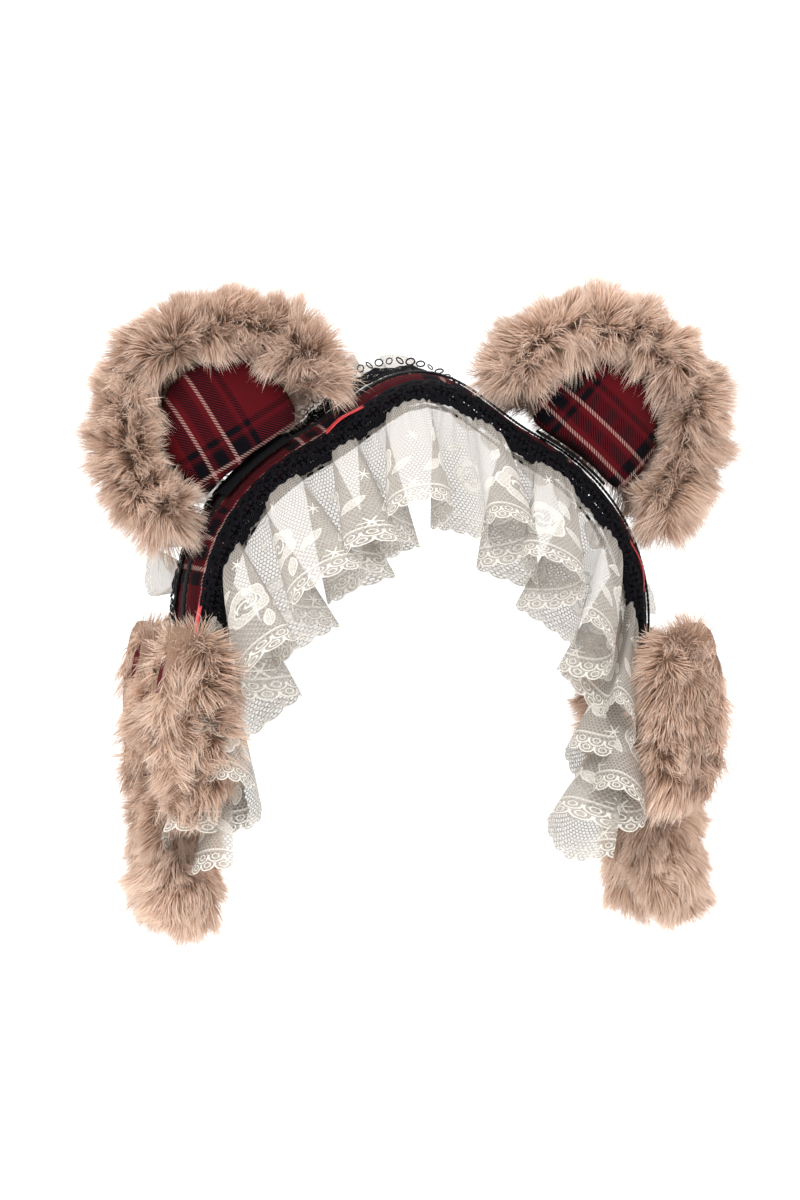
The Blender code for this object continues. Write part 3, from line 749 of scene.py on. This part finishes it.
def curve_between(a, b, c, d, steps=240):
    t = np.linspace(0, 1, steps)[:, None]
    a, b, c, d = (np.array(p, float) for p in (a, b, c, d))
    return (1 - t) ** 3 * a + 3 * (1 - t) ** 2 * t * b + 3 * (1 - t) * t**2 * c + t**3 * d


def draw_arch():
    """(out, up) of points down one side in mm, and their distances from the crown."""
    slope = np.array([math.cos(SHOULDER_SLOPE), -math.sin(SHOULDER_SLOPE)])
    shoulder, side, end = (np.array(p, float) for p in (SHOULDER, SIDE, END))
    lean = np.array([math.sin(END_LEAN), math.cos(END_LEAN)])
    points = np.concatenate(
        [
            curve_between((0, 0), (CROWN_FLAT, 0), shoulder - SHOULDER_PULL * slope, shoulder),
            curve_between(shoulder, shoulder + SHOULDER_PULL * slope, side + (0, SIDE_PULL), side)[1:],
            curve_between(side, side - (0, SIDE_PULL), end + END_PULL * lean, end)[1:],
        ]
    )
    runs = np.concatenate([[0], np.cumsum(np.linalg.norm(np.diff(points, axis=0), axis=1))])
    return points, runs


ARCH, ARCH_RUNS = draw_arch()
ARCH_AHEAD = unit(np.gradient(ARCH, ARCH_RUNS, axis=0))
BAND_REACH = ARCH_RUNS[-1]
WIDEST_RUN = np.interp(-SIDE[1], -ARCH[:, 1], ARCH_RUNS)
print(f"band {2 * BAND_REACH:.0f} mm along the arch")


def ease(value, start, end):
    share = np.clip((value - start) / (end - start), 0, 1)
    return share * share * (3 - 2 * share)


def arch_at(run):
    """Place, outward and ahead directions, in 3D and mm, at signed distances from the crown."""
    side, far = np.sign(run + 1e-9), np.abs(run)
    zero = np.zeros_like(far)
    x, z = np.interp(far, ARCH_RUNS, ARCH[:, 0]), np.interp(far, ARCH_RUNS, ARCH[:, 1])
    dx, dz = np.interp(far, ARCH_RUNS, ARCH_AHEAD[:, 0]), np.interp(far, ARCH_RUNS, ARCH_AHEAD[:, 1])
    return (
        np.stack([side * x, zero, z], -1),
        unit(np.stack([-side * dz, zero, dx], -1)),
        unit(np.stack([dx, zero, side * dz], -1)),
    )


def band_places(run, across, lift):
    """Places in metres for arrays of run, across (front negative) and lift, all in mm."""
    run, across, lift = np.broadcast_arrays(
        np.asarray(run, float), np.asarray(across, float), np.asarray(lift, float)
    )
    point, outward, _ = arch_at(run)
    near = CROWN_SPLAY + (SIDE_SPLAY - CROWN_SPLAY) * ease(np.abs(run), 0, WIDEST_RUN)
    far = SIDE_SPLAY + (END_SPLAY - SIDE_SPLAY) * ease(np.abs(run), WIDEST_RUN, BAND_REACH)
    splay = np.where(np.abs(run) < WIDEST_RUN, near, far)[..., None]
    rear = np.array([0.0, 1.0, 0.0])
    along_face = rear * np.cos(splay) + outward * np.sin(splay)
    off_face = outward * np.cos(splay) - rear * np.sin(splay)
    half = BAND_WIDTH / 2
    return (point - rear * half + along_face * (across + half)[..., None] + off_face * lift[..., None]) * MM


print("arch ends", [round(float(z), 4) for z in band_places([BAND_REACH], 0, 0)[0]])

# %% [markdown]
# ## Sleeve, lining and trims
# A sleeve is a closed ring drawn along the arch, thin at its edges and domed over the foam, with small
# pulls where it is sewn. The lining is a strip of felt on the inner face. Both get their place in the
# weave from their maps.


# %% Closed pieces along the band
def ring_along(name, runs, ring, look, uv_scale=SETT / MM):
    """A closed ring of (across, lift) pairs carried along the arch, with a capped start and end."""
    places = band_places(runs[:, None], ring[..., 0], ring[..., 1])
    rows, columns = len(runs), ring.shape[-2]
    section = ring[len(ring) // 2] if ring.ndim == 3 else ring
    length = np.concatenate([[0], np.cumsum(np.linalg.norm(np.diff(section, axis=0), axis=1))])
    uv = np.stack(np.broadcast_arrays(runs[:, None] / uv_scale, length[None] / uv_scale), -1)
    centre_start, centre_end = places[0].mean(0), places[-1].mean(0)
    points = np.concatenate([places.reshape(-1, 3), [centre_start, centre_end]])
    uv = np.concatenate([uv.reshape(-1, 2), [uv[0].mean(0), uv[-1].mean(0)]])
    faces = grid_faces(rows, columns, closed=True)
    j = np.arange(columns)
    k = (j + 1) % columns
    last = (rows - 1) * columns
    start_cap = np.stack([np.full(columns, rows * columns), k, j], 1)
    end_cap = np.stack([np.full(columns, rows * columns + 1), last + j, last + k], 1)
    made = mesh_object(name, points, [faces, np.concatenate([start_cap, end_cap])], uv, look)
    mesh = bmesh.new()
    mesh.from_mesh(made.data)
    if mesh.calc_volume(signed=True) < 0:
        bmesh.ops.reverse_faces(mesh, faces=mesh.faces)
    mesh.to_mesh(made.data)
    mesh.free()
    return made


def stand_for(piece, slot_name, *nodes):
    """Puts a piece on the headband in place of these nodes."""
    if nodes:
        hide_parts(*nodes)
    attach(piece, "headband")
    return piece


# %% Sleeve of tartan
COVER_FLOOR, COVER_EDGE, COVER_DOME, DOME_HALF = 3.5, 1.9, 2.6, 14.6


def sleeve_top(across):
    """How high the sleeve stands over the band's inner face."""
    return COVER_FLOOR + COVER_EDGE + COVER_DOME * np.clip(1 - (across / DOME_HALF) ** 2, 0, 1)


sleeve_runs = np.linspace(-BAND_REACH + 1.5, BAND_REACH - 1.5, 260)
top_across = np.linspace(-BAND_WIDTH / 2, BAND_WIDTH / 2, 33)
pull = 0.35 * np.sin(sleeve_runs * 1.15)[:, None] * np.sin(np.pi * np.abs(top_across) / 15)[None]
pull = pull + 0.45 * waves_along(sleeve_runs, 34, 3, 1)
dome = sleeve_top(top_across)[None] + 0.6 * pull
dome = dome - 0.9 * np.exp(-((np.abs(top_across)[None] - 8.0) / 0.7) ** 2)
top = np.stack(np.broadcast_arrays(top_across[None], dome), -1)
under = np.stack(np.broadcast_arrays(top_across[None, ::-1], np.full((1, 33), COVER_FLOOR - 0.1)), -1)
under = np.broadcast_to(under, top.shape)
cover = ring_along("band_sleeve", sleeve_runs, np.concatenate([top, under], 1), TARTAN)
stand_for(cover, "tartan", "tartan_cover", "foam_padding")
print("sleeve:", len(cover.data.polygons), "faces")


# %% Felt, hoop plastic and steel
def cloth_material(name, colour, thread, depth, **settings):
    """Felt, thread or plastic with a fine grain of this size and depth, and a soft blotch of wear."""
    made, tree, shader = new_material(name, **settings)
    place = tree.nodes.new("ShaderNodeTexCoord").outputs["Object"]
    fuzz = tree.nodes.new("ShaderNodeTexNoise")
    fuzz.inputs["Scale"].default_value = 1 / thread
    fuzz.inputs["Detail"].default_value = 3
    tree.links.new(place, fuzz.inputs["Vector"])
    blotch = tree.nodes.new("ShaderNodeTexNoise")
    blotch.inputs["Scale"].default_value = 45
    tree.links.new(place, blotch.inputs["Vector"])
    share = Wire(tree, fuzz.outputs["Fac"]) * 0.7 + Wire(tree, blotch.outputs["Fac"]) * 0.5
    pale = tuple(min(c * 2.2 + 0.004, 1) for c in colour)
    tree.links.new(mix_colours(tree, share, colour, pale), shader.inputs["Base Color"])
    raise_threads(tree, shader, Wire(tree, fuzz.outputs["Fac"]), depth)
    return made


BLACK_FELT = cloth_material(
    "black_felt", (0.004, 0.004, 0.0045), 0.5 * MM, 0.25 * MM, Roughness=0.95, Specular_IOR_Level=0.03
)
COTTON = cloth_material("stuffing_cotton", (0.42, 0.40, 0.36), 1.2 * MM, 0.5 * MM, Roughness=0.95)
HOOP = cloth_material("hoop_plastic", (0.012, 0.012, 0.013), 2 * MM, 0.02 * MM, Roughness=0.38)
STEEL = cloth_material("ear_wire_steel", (0.35, 0.34, 0.33), 1 * MM, 0.02 * MM, Roughness=0.35, Metallic=1.0)
for name, node in frame["nodes"].items():
    if node.hide_render:
        continue
    look = (
        BLACK_FELT if "pad" in name or "tape" in name
        else STEEL if "wire" in name
        else HOOP if name == "hoop" or "cap" in name
        else COTTON
    )
    node.data.materials.clear()
    node.data.materials.append(look)
print("materials on the frame's own pieces")

# %% Lining of felt
lining_across = np.linspace(-DOME_HALF, DOME_HALF, 21)
lining_runs = np.linspace(-BAND_REACH + 1.2, BAND_REACH - 1.2, 220)
outer_face = np.stack([lining_across, np.full(21, 0.78)], -1)
inner_face = np.stack([lining_across[::-1], 0.02 + 0.05 * np.cos(lining_across[::-1] * 3)], -1)
lining = ring_along("band_lining", lining_runs, np.concatenate([outer_face, inner_face]), BLACK_FELT)
stand_for(lining, "felt", "lining")
print("lining done")

# %% [markdown]
# ## Ivory net lace
# The frills are machine lace: a hexagonal net about 1.3 mm across with roses, leaf sprigs and small stars
# worked on it in thicker thread, and rows of little arcs to the scalloped edge. The material draws one
# repeat, 64 mm long and 50 mm deep, as distances to lines, and those that are near enough are thread. All
# else is open, so the same pattern gives colour, relief and transparency, and the map counts repeats.

# %% The thread pattern of one repeat
LACE_REPEAT, LACE_DEPTH, NET_CELL, SCALLOP = 64.0, 50.0, 1.28, 64.0 / 15
SCALLOP_CENTRE, SCALLOP_RADIUS = 46.5, 2.25
ROSES = ((15.0, 29.0, 8.2), (47.0, 24.5, 6.6))
LEAVES = (
    (27.0, 31.0, 0.5, 4.6), (3.0, 31.5, 2.5, 4.6), (23.0, 20.5, 1.1, 4.0), (57.0, 29.0, -0.6, 4.2),
    (37.5, 29.5, 0.8, 4.0), (50.5, 35.0, 1.7, 3.6), (40.0, 15.5, -0.4, 3.8), (8.0, 17.5, 2.1, 3.6),
)
STARS = (
    (32.0, 38.0, 3.2), (60.0, 39.0, 2.8), (31.0, 13.0, 2.8),
    (62.0, 17.5, 2.6), (16.0, 9.5, 2.4), (48.5, 8.0, 2.4),
)


def hexagons(x, y):
    """Distance to the edge of hexagonal cells one unit across."""
    tall = math.sqrt(3)
    near = []
    for shift in (0.0, 0.5):
        dx = (x + shift).part() - 0.5
        dy = ((y / tall + shift).part() - 0.5) * tall
        near.append((abs(dx), abs(dy), dx * dx + dy * dy))
    first = near[0][2].less(near[1][2])
    hx = (near[0][0] - near[1][0]) * first + near[1][0]
    hy = (near[0][1] - near[1][1]) * first + near[1][1]
    return hx.most(hx * 0.5 + hy * (tall / 2)) - 0.5


def place_from(x, y, centre_x, centre_y, repeat):
    dx = ((x - centre_x) / repeat + 0.5).part() * repeat - repeat / 2
    return dx, y - centre_y


def rose(dx, dy, size):
    away, angle = (dx * dx + dy * dy).root(), dy.math("ARCTAN2", dx)
    petal = abs((angle * 2.5).wave())
    inner = abs((angle * 2.5 + 1.1).wave())
    edge = petal * (0.17 * size) + 0.83 * size
    heart = inner * (0.12 * size) + 0.46 * size
    lines = (away - edge).line(0.42).most((away - heart).line(0.32))
    lines = lines.most(((away * (7.5 / size) + angle).wave() * 0.6).line(0.30) * away.less(0.44 * size))
    lines = lines.most((angle * 2.5).wave().line(0.10) * away.less(edge) * away.more(heart))
    return lines, away.less(edge) * away.more(heart)


def leaf(dx, dy, turn, length):
    along = dx * math.cos(turn) + dy * math.sin(turn)
    across = abs(dy * math.cos(turn) - dx * math.sin(turn))
    half = (along * along * (-1 / length**2) + 1) * (0.36 * length)
    inside = abs(along).less(length)
    lines = (across - half).line(0.28).most(across.line(0.16))
    return lines * inside, across.less(half) * inside


def star(dx, dy, size):
    away, angle = (dx * dx + dy * dy).root(), dy.math("ARCTAN2", dx)
    return ((angle * 3).wave() * away * 0.33).line(0.24) * away.less(size)


def lace_material():
    made, tree, shader = new_material(
        "ivory_lace", Roughness=0.85, Sheen_Weight=0.05, Sheen_Roughness=0.4, Specular_IOR_Level=0.1
    )
    u, v = surface_uv(tree)
    x, y = u.part() * LACE_REPEAT, v * LACE_DEPTH
    net = hexagons(x / NET_CELL, y / NET_CELL).line(0.13)
    lines = fill = None
    for cx, cy, size in ROSES:
        outline, inside = rose(*place_from(x, y, cx, cy, LACE_REPEAT), size)
        lines = outline if lines is None else lines.most(outline)
        fill = inside if fill is None else fill.most(inside)
    for cx, cy, turn, length in LEAVES:
        outline, inside = leaf(*place_from(x, y, cx, cy, LACE_REPEAT), turn, length)
        lines, fill = lines.most(outline), fill.most(inside)
    for cx, cy, size in STARS:
        lines = lines.most(star(*place_from(x, y, cx, cy, LACE_REPEAT), size))
    for centre, shift in ((SCALLOP_CENTRE, 0.0), (SCALLOP_CENTRE - 3.1, 0.5)):
        sx = ((x / SCALLOP + shift).part() - 0.5) * SCALLOP
        sy = y - centre
        away = (sx * sx + sy * sy).root()
        lower = sy.more(-0.6)
        lines = lines.most(((away - 2.02).line(0.27) * lower).most((away - 0.95).line(0.2)))
    border = y.more(SCALLOP_CENTRE - 6.0) * y.less(SCALLOP_CENTRE - 5.3)
    dense = (fill * 0.7).most(border * 0.8)
    thread = net.most(lines).most(dense).most(0.46)
    # Painted shade: the net is coloured a darker, greyer ivory than the embroidery, for the shade on its
    # thin threads.
    colour = mix_colours(tree, lines.most(dense).least(1.0), (0.46, 0.42, 0.375), (0.82, 0.785, 0.72))
    tree.links.new(colour, shader.inputs["Base Color"])
    tree.links.new(thread.least(1.0).socket, shader.inputs["Alpha"])
    raise_threads(tree, shader, lines + net * 0.4 + fill * 0.3, 0.25 * MM)
    return made


LACE = lace_material()
print("material", LACE.name, "with", len(LACE.node_tree.nodes), "nodes")

# %% [markdown]
# ## Gathered frills
# A strip of lace more than twice as long as the band is gathered on a seam, so it stands in deep rounded
# folds that turn back on themselves. Across the way it falls, a fold is a loop: it swings to and fro, and
# at twice that rate along the seam. Small gathers near the seam die out as the folds grow. At
# the sides the front frill hangs down and inwards, so its folds lie over each other like shingles.


# %% A ruffle
def ruffle(name, reach, gather, folds, depth, root, fall, swing, overlap, seed, rows=26, edge_wave=1.0):
    """root(runs) gives the seam in metres, and fall(runs) the way in which the lace hangs."""
    scale = depth / LACE_DEPTH
    scallop = SCALLOP * scale
    columns = int(2 * reach * gather / scallop) * 8 + 1
    cloth = np.linspace(0, 2 * reach * gather, columns)
    runs = -reach + cloth / gather
    drift = waves_along(runs, 95, seed)
    phase = 2 * math.pi * (folds * cloth / cloth[-1] + 0.16 * drift[:, 0])
    strength = 1 + 0.28 * drift[:, 1]
    seam, way = root(runs), unit(fall(runs))
    _, _, ahead = arch_at(runs)
    aside = unit(ahead - (ahead * way).sum(1, keepdims=True) * way)
    out = np.cross(way, aside)
    from_middle = ((cloth / scallop) % 1 - 0.5) * SCALLOP
    edge = (SCALLOP_CENTRE + np.sqrt(np.maximum(SCALLOP_RADIUS**2 - from_middle**2, 0))) / LACE_DEPTH
    share = np.linspace(0, 1, rows)[None, :] * edge[:, None]
    grow = share**0.62
    small = np.exp(-((share / 0.34) ** 2)) * share / (share + 0.04)
    fine = 2 * math.pi * cloth / 7.3
    wobble = waves_along(cloth, 23, seed + 7, 2)
    across = swing * np.sin(phase)[:, None] * strength[:, None] * grow
    across = across + 0.9 * small * np.sin(fine + 2 * drift[:, 2])[:, None]
    across = across + edge_wave * share**2 * wobble[:, :1]
    beside = -overlap * np.sin(2 * phase + 0.5 * drift[:, 2])[:, None] * strength[:, None] * grow
    beside = beside + 0.8 * edge_wave * share**2 * wobble[:, 1:]
    drop = depth * share * (1 - 0.10 * share * np.sin(phase)[:, None] ** 2)
    moves = ((way, drop), (aside, beside), (out, across))
    points = seam[:, None] + sum(axis[:, None] * far[..., None] for axis, far in moves) * MM
    uv = np.stack([np.broadcast_to(cloth[:, None] / (LACE_REPEAT * scale), share.shape), share], -1)
    made = mesh_object(name, points.reshape(-1, 3), [grid_faces(columns, rows)], uv.reshape(-1, 2), LACE)
    return made, cloth[-1]


# %% Front frill
FRONT_SEAM_ACROSS, FRONT_SEAM_LIFT, FRONT_REACH = -BAND_WIDTH / 2 - 0.3, 2.2, BAND_REACH - 25


def front_fall(runs):
    """Down, a little forward, and to the side: inwards on the right and over the band on the left."""
    side = np.where(runs < 0, -1.0, 1.0)
    inward_right = 0.40 * ease(np.abs(runs), 15, 80)
    inward_left = 0.30 * ease(np.abs(runs), 10, 60) - 0.48 * ease(np.abs(runs), 88, 125)
    inward = np.where(runs < 0, inward_left, inward_right)
    return np.stack([-side * inward, np.full(len(runs), -0.42), np.full(len(runs), -0.88)], 1)


front, front_length = ruffle(
    "front_frill_lace", FRONT_REACH, 2.6, 11, 52,
    lambda runs: band_places(runs, FRONT_SEAM_ACROSS, FRONT_SEAM_LIFT),
    front_fall, 15.5, 9.0, seed=61,
)
stand_for(front, "ivory_lace", "front_frill")
print(f"front frill from a strip {front_length:.0f} mm long")

# %% Rear frill
REAR_REACH, REAR_DEPTH = 112, 27


def rear_fall(runs):
    """Back along the band's flare, and rising except behind the ears."""
    _, outward, _ = arch_at(runs)
    behind_ear = np.maximum(ease(np.abs(runs + 66), 64, 42), ease(np.abs(runs - 53), 64, 42))
    return np.array([0, 1.0, 0]) + outward * (0.95 - 0.75 * behind_ear)[:, None]


rear, rear_length = ruffle(
    "rear_frill_lace", REAR_REACH, 2.0, 15, REAR_DEPTH,
    lambda runs: band_places(runs, BAND_WIDTH / 2 + 0.9, -0.6),
    rear_fall, 6.5, 4.4, seed=81, rows=18, edge_wave=0.5,
)
stand_for(rear, "ivory_lace", "rear_frill")
print(f"rear frill from a strip {rear_length:.0f} mm long")

# %% [markdown]
# ## Narrow trims
# A black corded lace is sewn along each edge of the sleeve. Its cords make leaves and rings with holes
# between them, where the red of the tartan shows as dots. Its outer edge waves, and thread loops stand
# out from it at the rear. Between the two lie a line of black braid and, beside the front lace, a ribbon of
# bright red satin that is mostly hidden.

# %% Corded black lace
CORD_REPEAT, CORD_WIDTH = 16.0, 9.6
CORDS = ((1, 3.4, 2.1, 0.0), (1, 3.4, -2.1, 0.0), (2, 6.9, 1.1, 0.6), (2, 6.9, -1.1, 0.6))


def corded_material():
    made, tree, shader = new_material("black_corded_lace", Roughness=0.85, Specular_IOR_Level=0.06)
    u, v = surface_uv(tree)
    x, y = u.part() * CORD_REPEAT, v * CORD_WIDTH
    lines = None
    for turns, middle, swing, lag in CORDS:
        cord = (x * (2 * math.pi * turns / CORD_REPEAT) + lag).wave() * swing + middle
        line = (y - cord).line(0.45)
        lines = line if lines is None else lines.most(line)
    net = hexagons(x, y).line(0.16)
    border = (y - 0.6).line(0.6).most((y - 8.9).line(0.7))
    blob = ((x * (2 * math.pi / 2.0)).wave() + (y * (2 * math.pi / 1.9)).wave()).more(0.2)
    solid = lines.most(border).most(blob)
    thread = solid.most(net)
    colour = mix_colours(tree, solid, (0.002, 0.002, 0.003), (0.006, 0.006, 0.008))
    tree.links.new(colour, shader.inputs["Base Color"])
    tree.links.new(thread.least(1.0).socket, shader.inputs["Alpha"])
    grain = (x * (2 * math.pi / 0.5) + y * 9.0).wave() * 0.15
    raise_threads(tree, shader, solid + grain, 0.35 * MM)
    return made


CORDED = corded_material()
BLACK_THREAD = cloth_material(
    "black_thread", (0.003, 0.003, 0.0035), 0.35 * MM, 0.12 * MM, Roughness=0.75, Specular_IOR_Level=0.2
)


def standing(run):
    """How far the rear trim's edge stands up, most of all just left of the crown."""
    return 6.0 * np.exp(-(((run + 16) / 30) ** 2))


# The declared width in metres, then in mm the sleeve's edge and the hem turned in at the front
TRIM_FLAT, TRIM_OUTER, TRIM_HEM = 0.010, 15.3, 3.9


def corded_strip(name, side, inner, overhang, wave, node):
    """side is -1 at the front and 1 at the rear. inner is how near it comes to the band's middle."""
    runs = np.linspace(-BAND_REACH + 1, BAND_REACH - 1, 640)
    share = np.linspace(0, 1, 15)[None]
    outer = TRIM_OUTER + overhang + wave * np.abs(np.sin(math.pi * runs / 8))[:, None]
    across = outer - share * (outer - inner)
    half = BAND_WIDTH / 2
    flat = sleeve_top(np.minimum(across, half)) + 0.45
    fallen = np.where(across > half, (across - half) * 0.9, 0)
    ripple = 0.22 * np.sin(runs * 2.4)[:, None] * (1 - share) + 0.15 * np.sin(runs * 0.9 + side)[:, None]
    stand = standing(runs)[:, None] * (1 - share) ** 1.5 if side > 0 else 0
    lift = flat - fallen + ripple + stand
    if side < 0:
        down = np.linspace(1, 0, 6)[None, :-1]
        across = np.concatenate([outer - 0.25 * down, across], 1)
        lift = np.concatenate([lift[:, :1] - TRIM_HEM * down, lift], 1)
    places = band_places(runs[:, None], side * across, lift)
    columns = across.shape[1]
    v = np.linspace(0, 1, columns)[None]
    uv = np.stack(np.broadcast_arrays(runs[:, None] / CORD_REPEAT, v), -1)
    faces = [grid_faces(len(runs), columns)]
    made = mesh_object(name, places.reshape(-1, 3), faces, uv.reshape(-1, 2), CORDED)
    solid = made.modifiers.new("thread", "SOLIDIFY")
    solid.thickness, solid.offset = 0.35 * MM, 0
    apply_modifiers(made)
    return stand_for(made, "black_fabric", node)


front_cord = corded_strip("front_black_trim", -1, 10.8, 1.9, 0.5, "front_black_lace")
rear_cord = corded_strip("rear_black_trim", 1, 8.6, 1.2, 1.6, "rear_black_lace")
print("trims:", len(front_cord.data.polygons) + len(rear_cord.data.polygons), "faces")

# %% Thread loops, one modelled and copied
bpy.ops.object.select_all(action="DESELECT")
bpy.ops.mesh.primitive_torus_add(
    major_radius=1.45 * MM, minor_radius=0.28 * MM, major_segments=14, minor_segments=5, location=(0, 0, 0)
)
one_loop = bpy.context.active_object
loop_points = points_of(one_loop)
loop_faces = np.array([list(p.vertices) for p in one_loop.data.polygons])
bpy.data.objects.remove(one_loop)


def loops_along(name, side, places_at):
    """Copies of the loop in one mesh, each standing out of the strip's edge and turned a little."""
    random = np.random.default_rng(7 + side)
    points, faces = [], []
    for run in places_at:
        base = band_places(run, side * 17.4, sleeve_top(np.array(14.6)) - 0.3 + standing(run))
        away = unit(base - band_places(run, side * 12, sleeve_top(np.array(12.0)) + 0.3))
        along = unit(band_places(run + 1, side * 16, 5) - base + (base - band_places(run, side * 16, 5)))
        twist = random.uniform(-0.7, 0.7)
        across = np.cross(away, along)
        along_turned = along * math.cos(twist) + across * math.sin(twist)
        size = random.uniform(0.75, 1.15)
        local = loop_points * size
        placed = (
            base + away * (1.1 * MM)
            + local[:, :1] * away * 1.25 + local[:, 1:2] * along_turned
            + local[:, 2:] * np.cross(away, along_turned)
        )
        faces.append(loop_faces + len(loop_points) * len(points))
        points.append(placed)
    made = mesh_object(name, np.concatenate(points), [np.concatenate(faces)], None, BLACK_THREAD)
    return stand_for(made, "black_fabric")


rear_loops = loops_along("rear_thread_loops", 1, np.arange(-BAND_REACH + 6, BAND_REACH - 4, 2.2))
print("loops:", len(rear_loops.data.polygons), "faces")

# %% Braid and satin ribbon
PLAIT_PERIOD, STRIP_STEPS = 3.0, 520


def round_strip(name, front, back, floor, thickness, look, node, slot_name, plait=0.0):
    """A thin closed strip on the sleeve between two places across it, plaited by ripples."""
    runs = np.linspace(-BAND_REACH + 2, BAND_REACH - 2, STRIP_STEPS)
    middle, half = (front + back) / 2, (back - front) / 2
    floor = floor(runs)[:, None] if callable(floor) else floor
    angle = np.linspace(0, 2 * math.pi, 12, endpoint=False)[None]
    wiggle = plait * np.sin(2 * math.pi * runs / PLAIT_PERIOD)[:, None]
    bulge = 1 + 0.22 * np.cos(4 * math.pi * runs / PLAIT_PERIOD)[:, None] * (plait > 0)
    across = middle + wiggle + half * np.cos(angle) * bulge
    lift = floor + thickness / 2 * (1 + np.sign(np.sin(angle)) * np.abs(np.sin(angle)) ** 0.6 * bulge)
    ring = np.stack([across, lift], -1)
    piece = ring_along(name, runs, ring, look, 1000)
    return stand_for(piece, slot_name, node)


def satin_material():
    made, tree, shader = new_material("red_satin", Roughness=0.28, Specular_IOR_Level=0.6, Sheen_Weight=0.1)
    place = tree.nodes.new("ShaderNodeTexCoord").outputs["Object"]
    streak = tree.nodes.new("ShaderNodeTexNoise")
    streak.inputs["Scale"].default_value = 160
    tree.links.new(place, streak.inputs["Vector"])
    share = Wire(tree, streak.outputs["Fac"])
    colour = mix_colours(tree, share, (0.42, 0.008, 0.012), (0.78, 0.03, 0.035))
    tree.links.new(colour, shader.inputs["Base Color"])
    raise_threads(tree, shader, share, 0.1 * MM)
    return made


SATIN = satin_material()


def ribbon_floor(runs):
    """The ribbon runs under the black lace and comes out over it in a few places."""
    shown = sum(np.exp(-(((runs - place) / 7.0) ** 2)) for place in (-30, 98, -118, 152))
    return 6.1 + 1.7 * np.clip(shown, 0, 1)


round_strip("centre_plait", -1.3, 1.3, 8.15, 0.9, BLACK_THREAD, "centre_braid", "black_fabric", plait=0.35)
round_strip("ribbon_of_satin", -12.2, -8.9, ribbon_floor, 0.5, SATIN, "satin_ribbon", "satin")
print("braid and ribbon done")
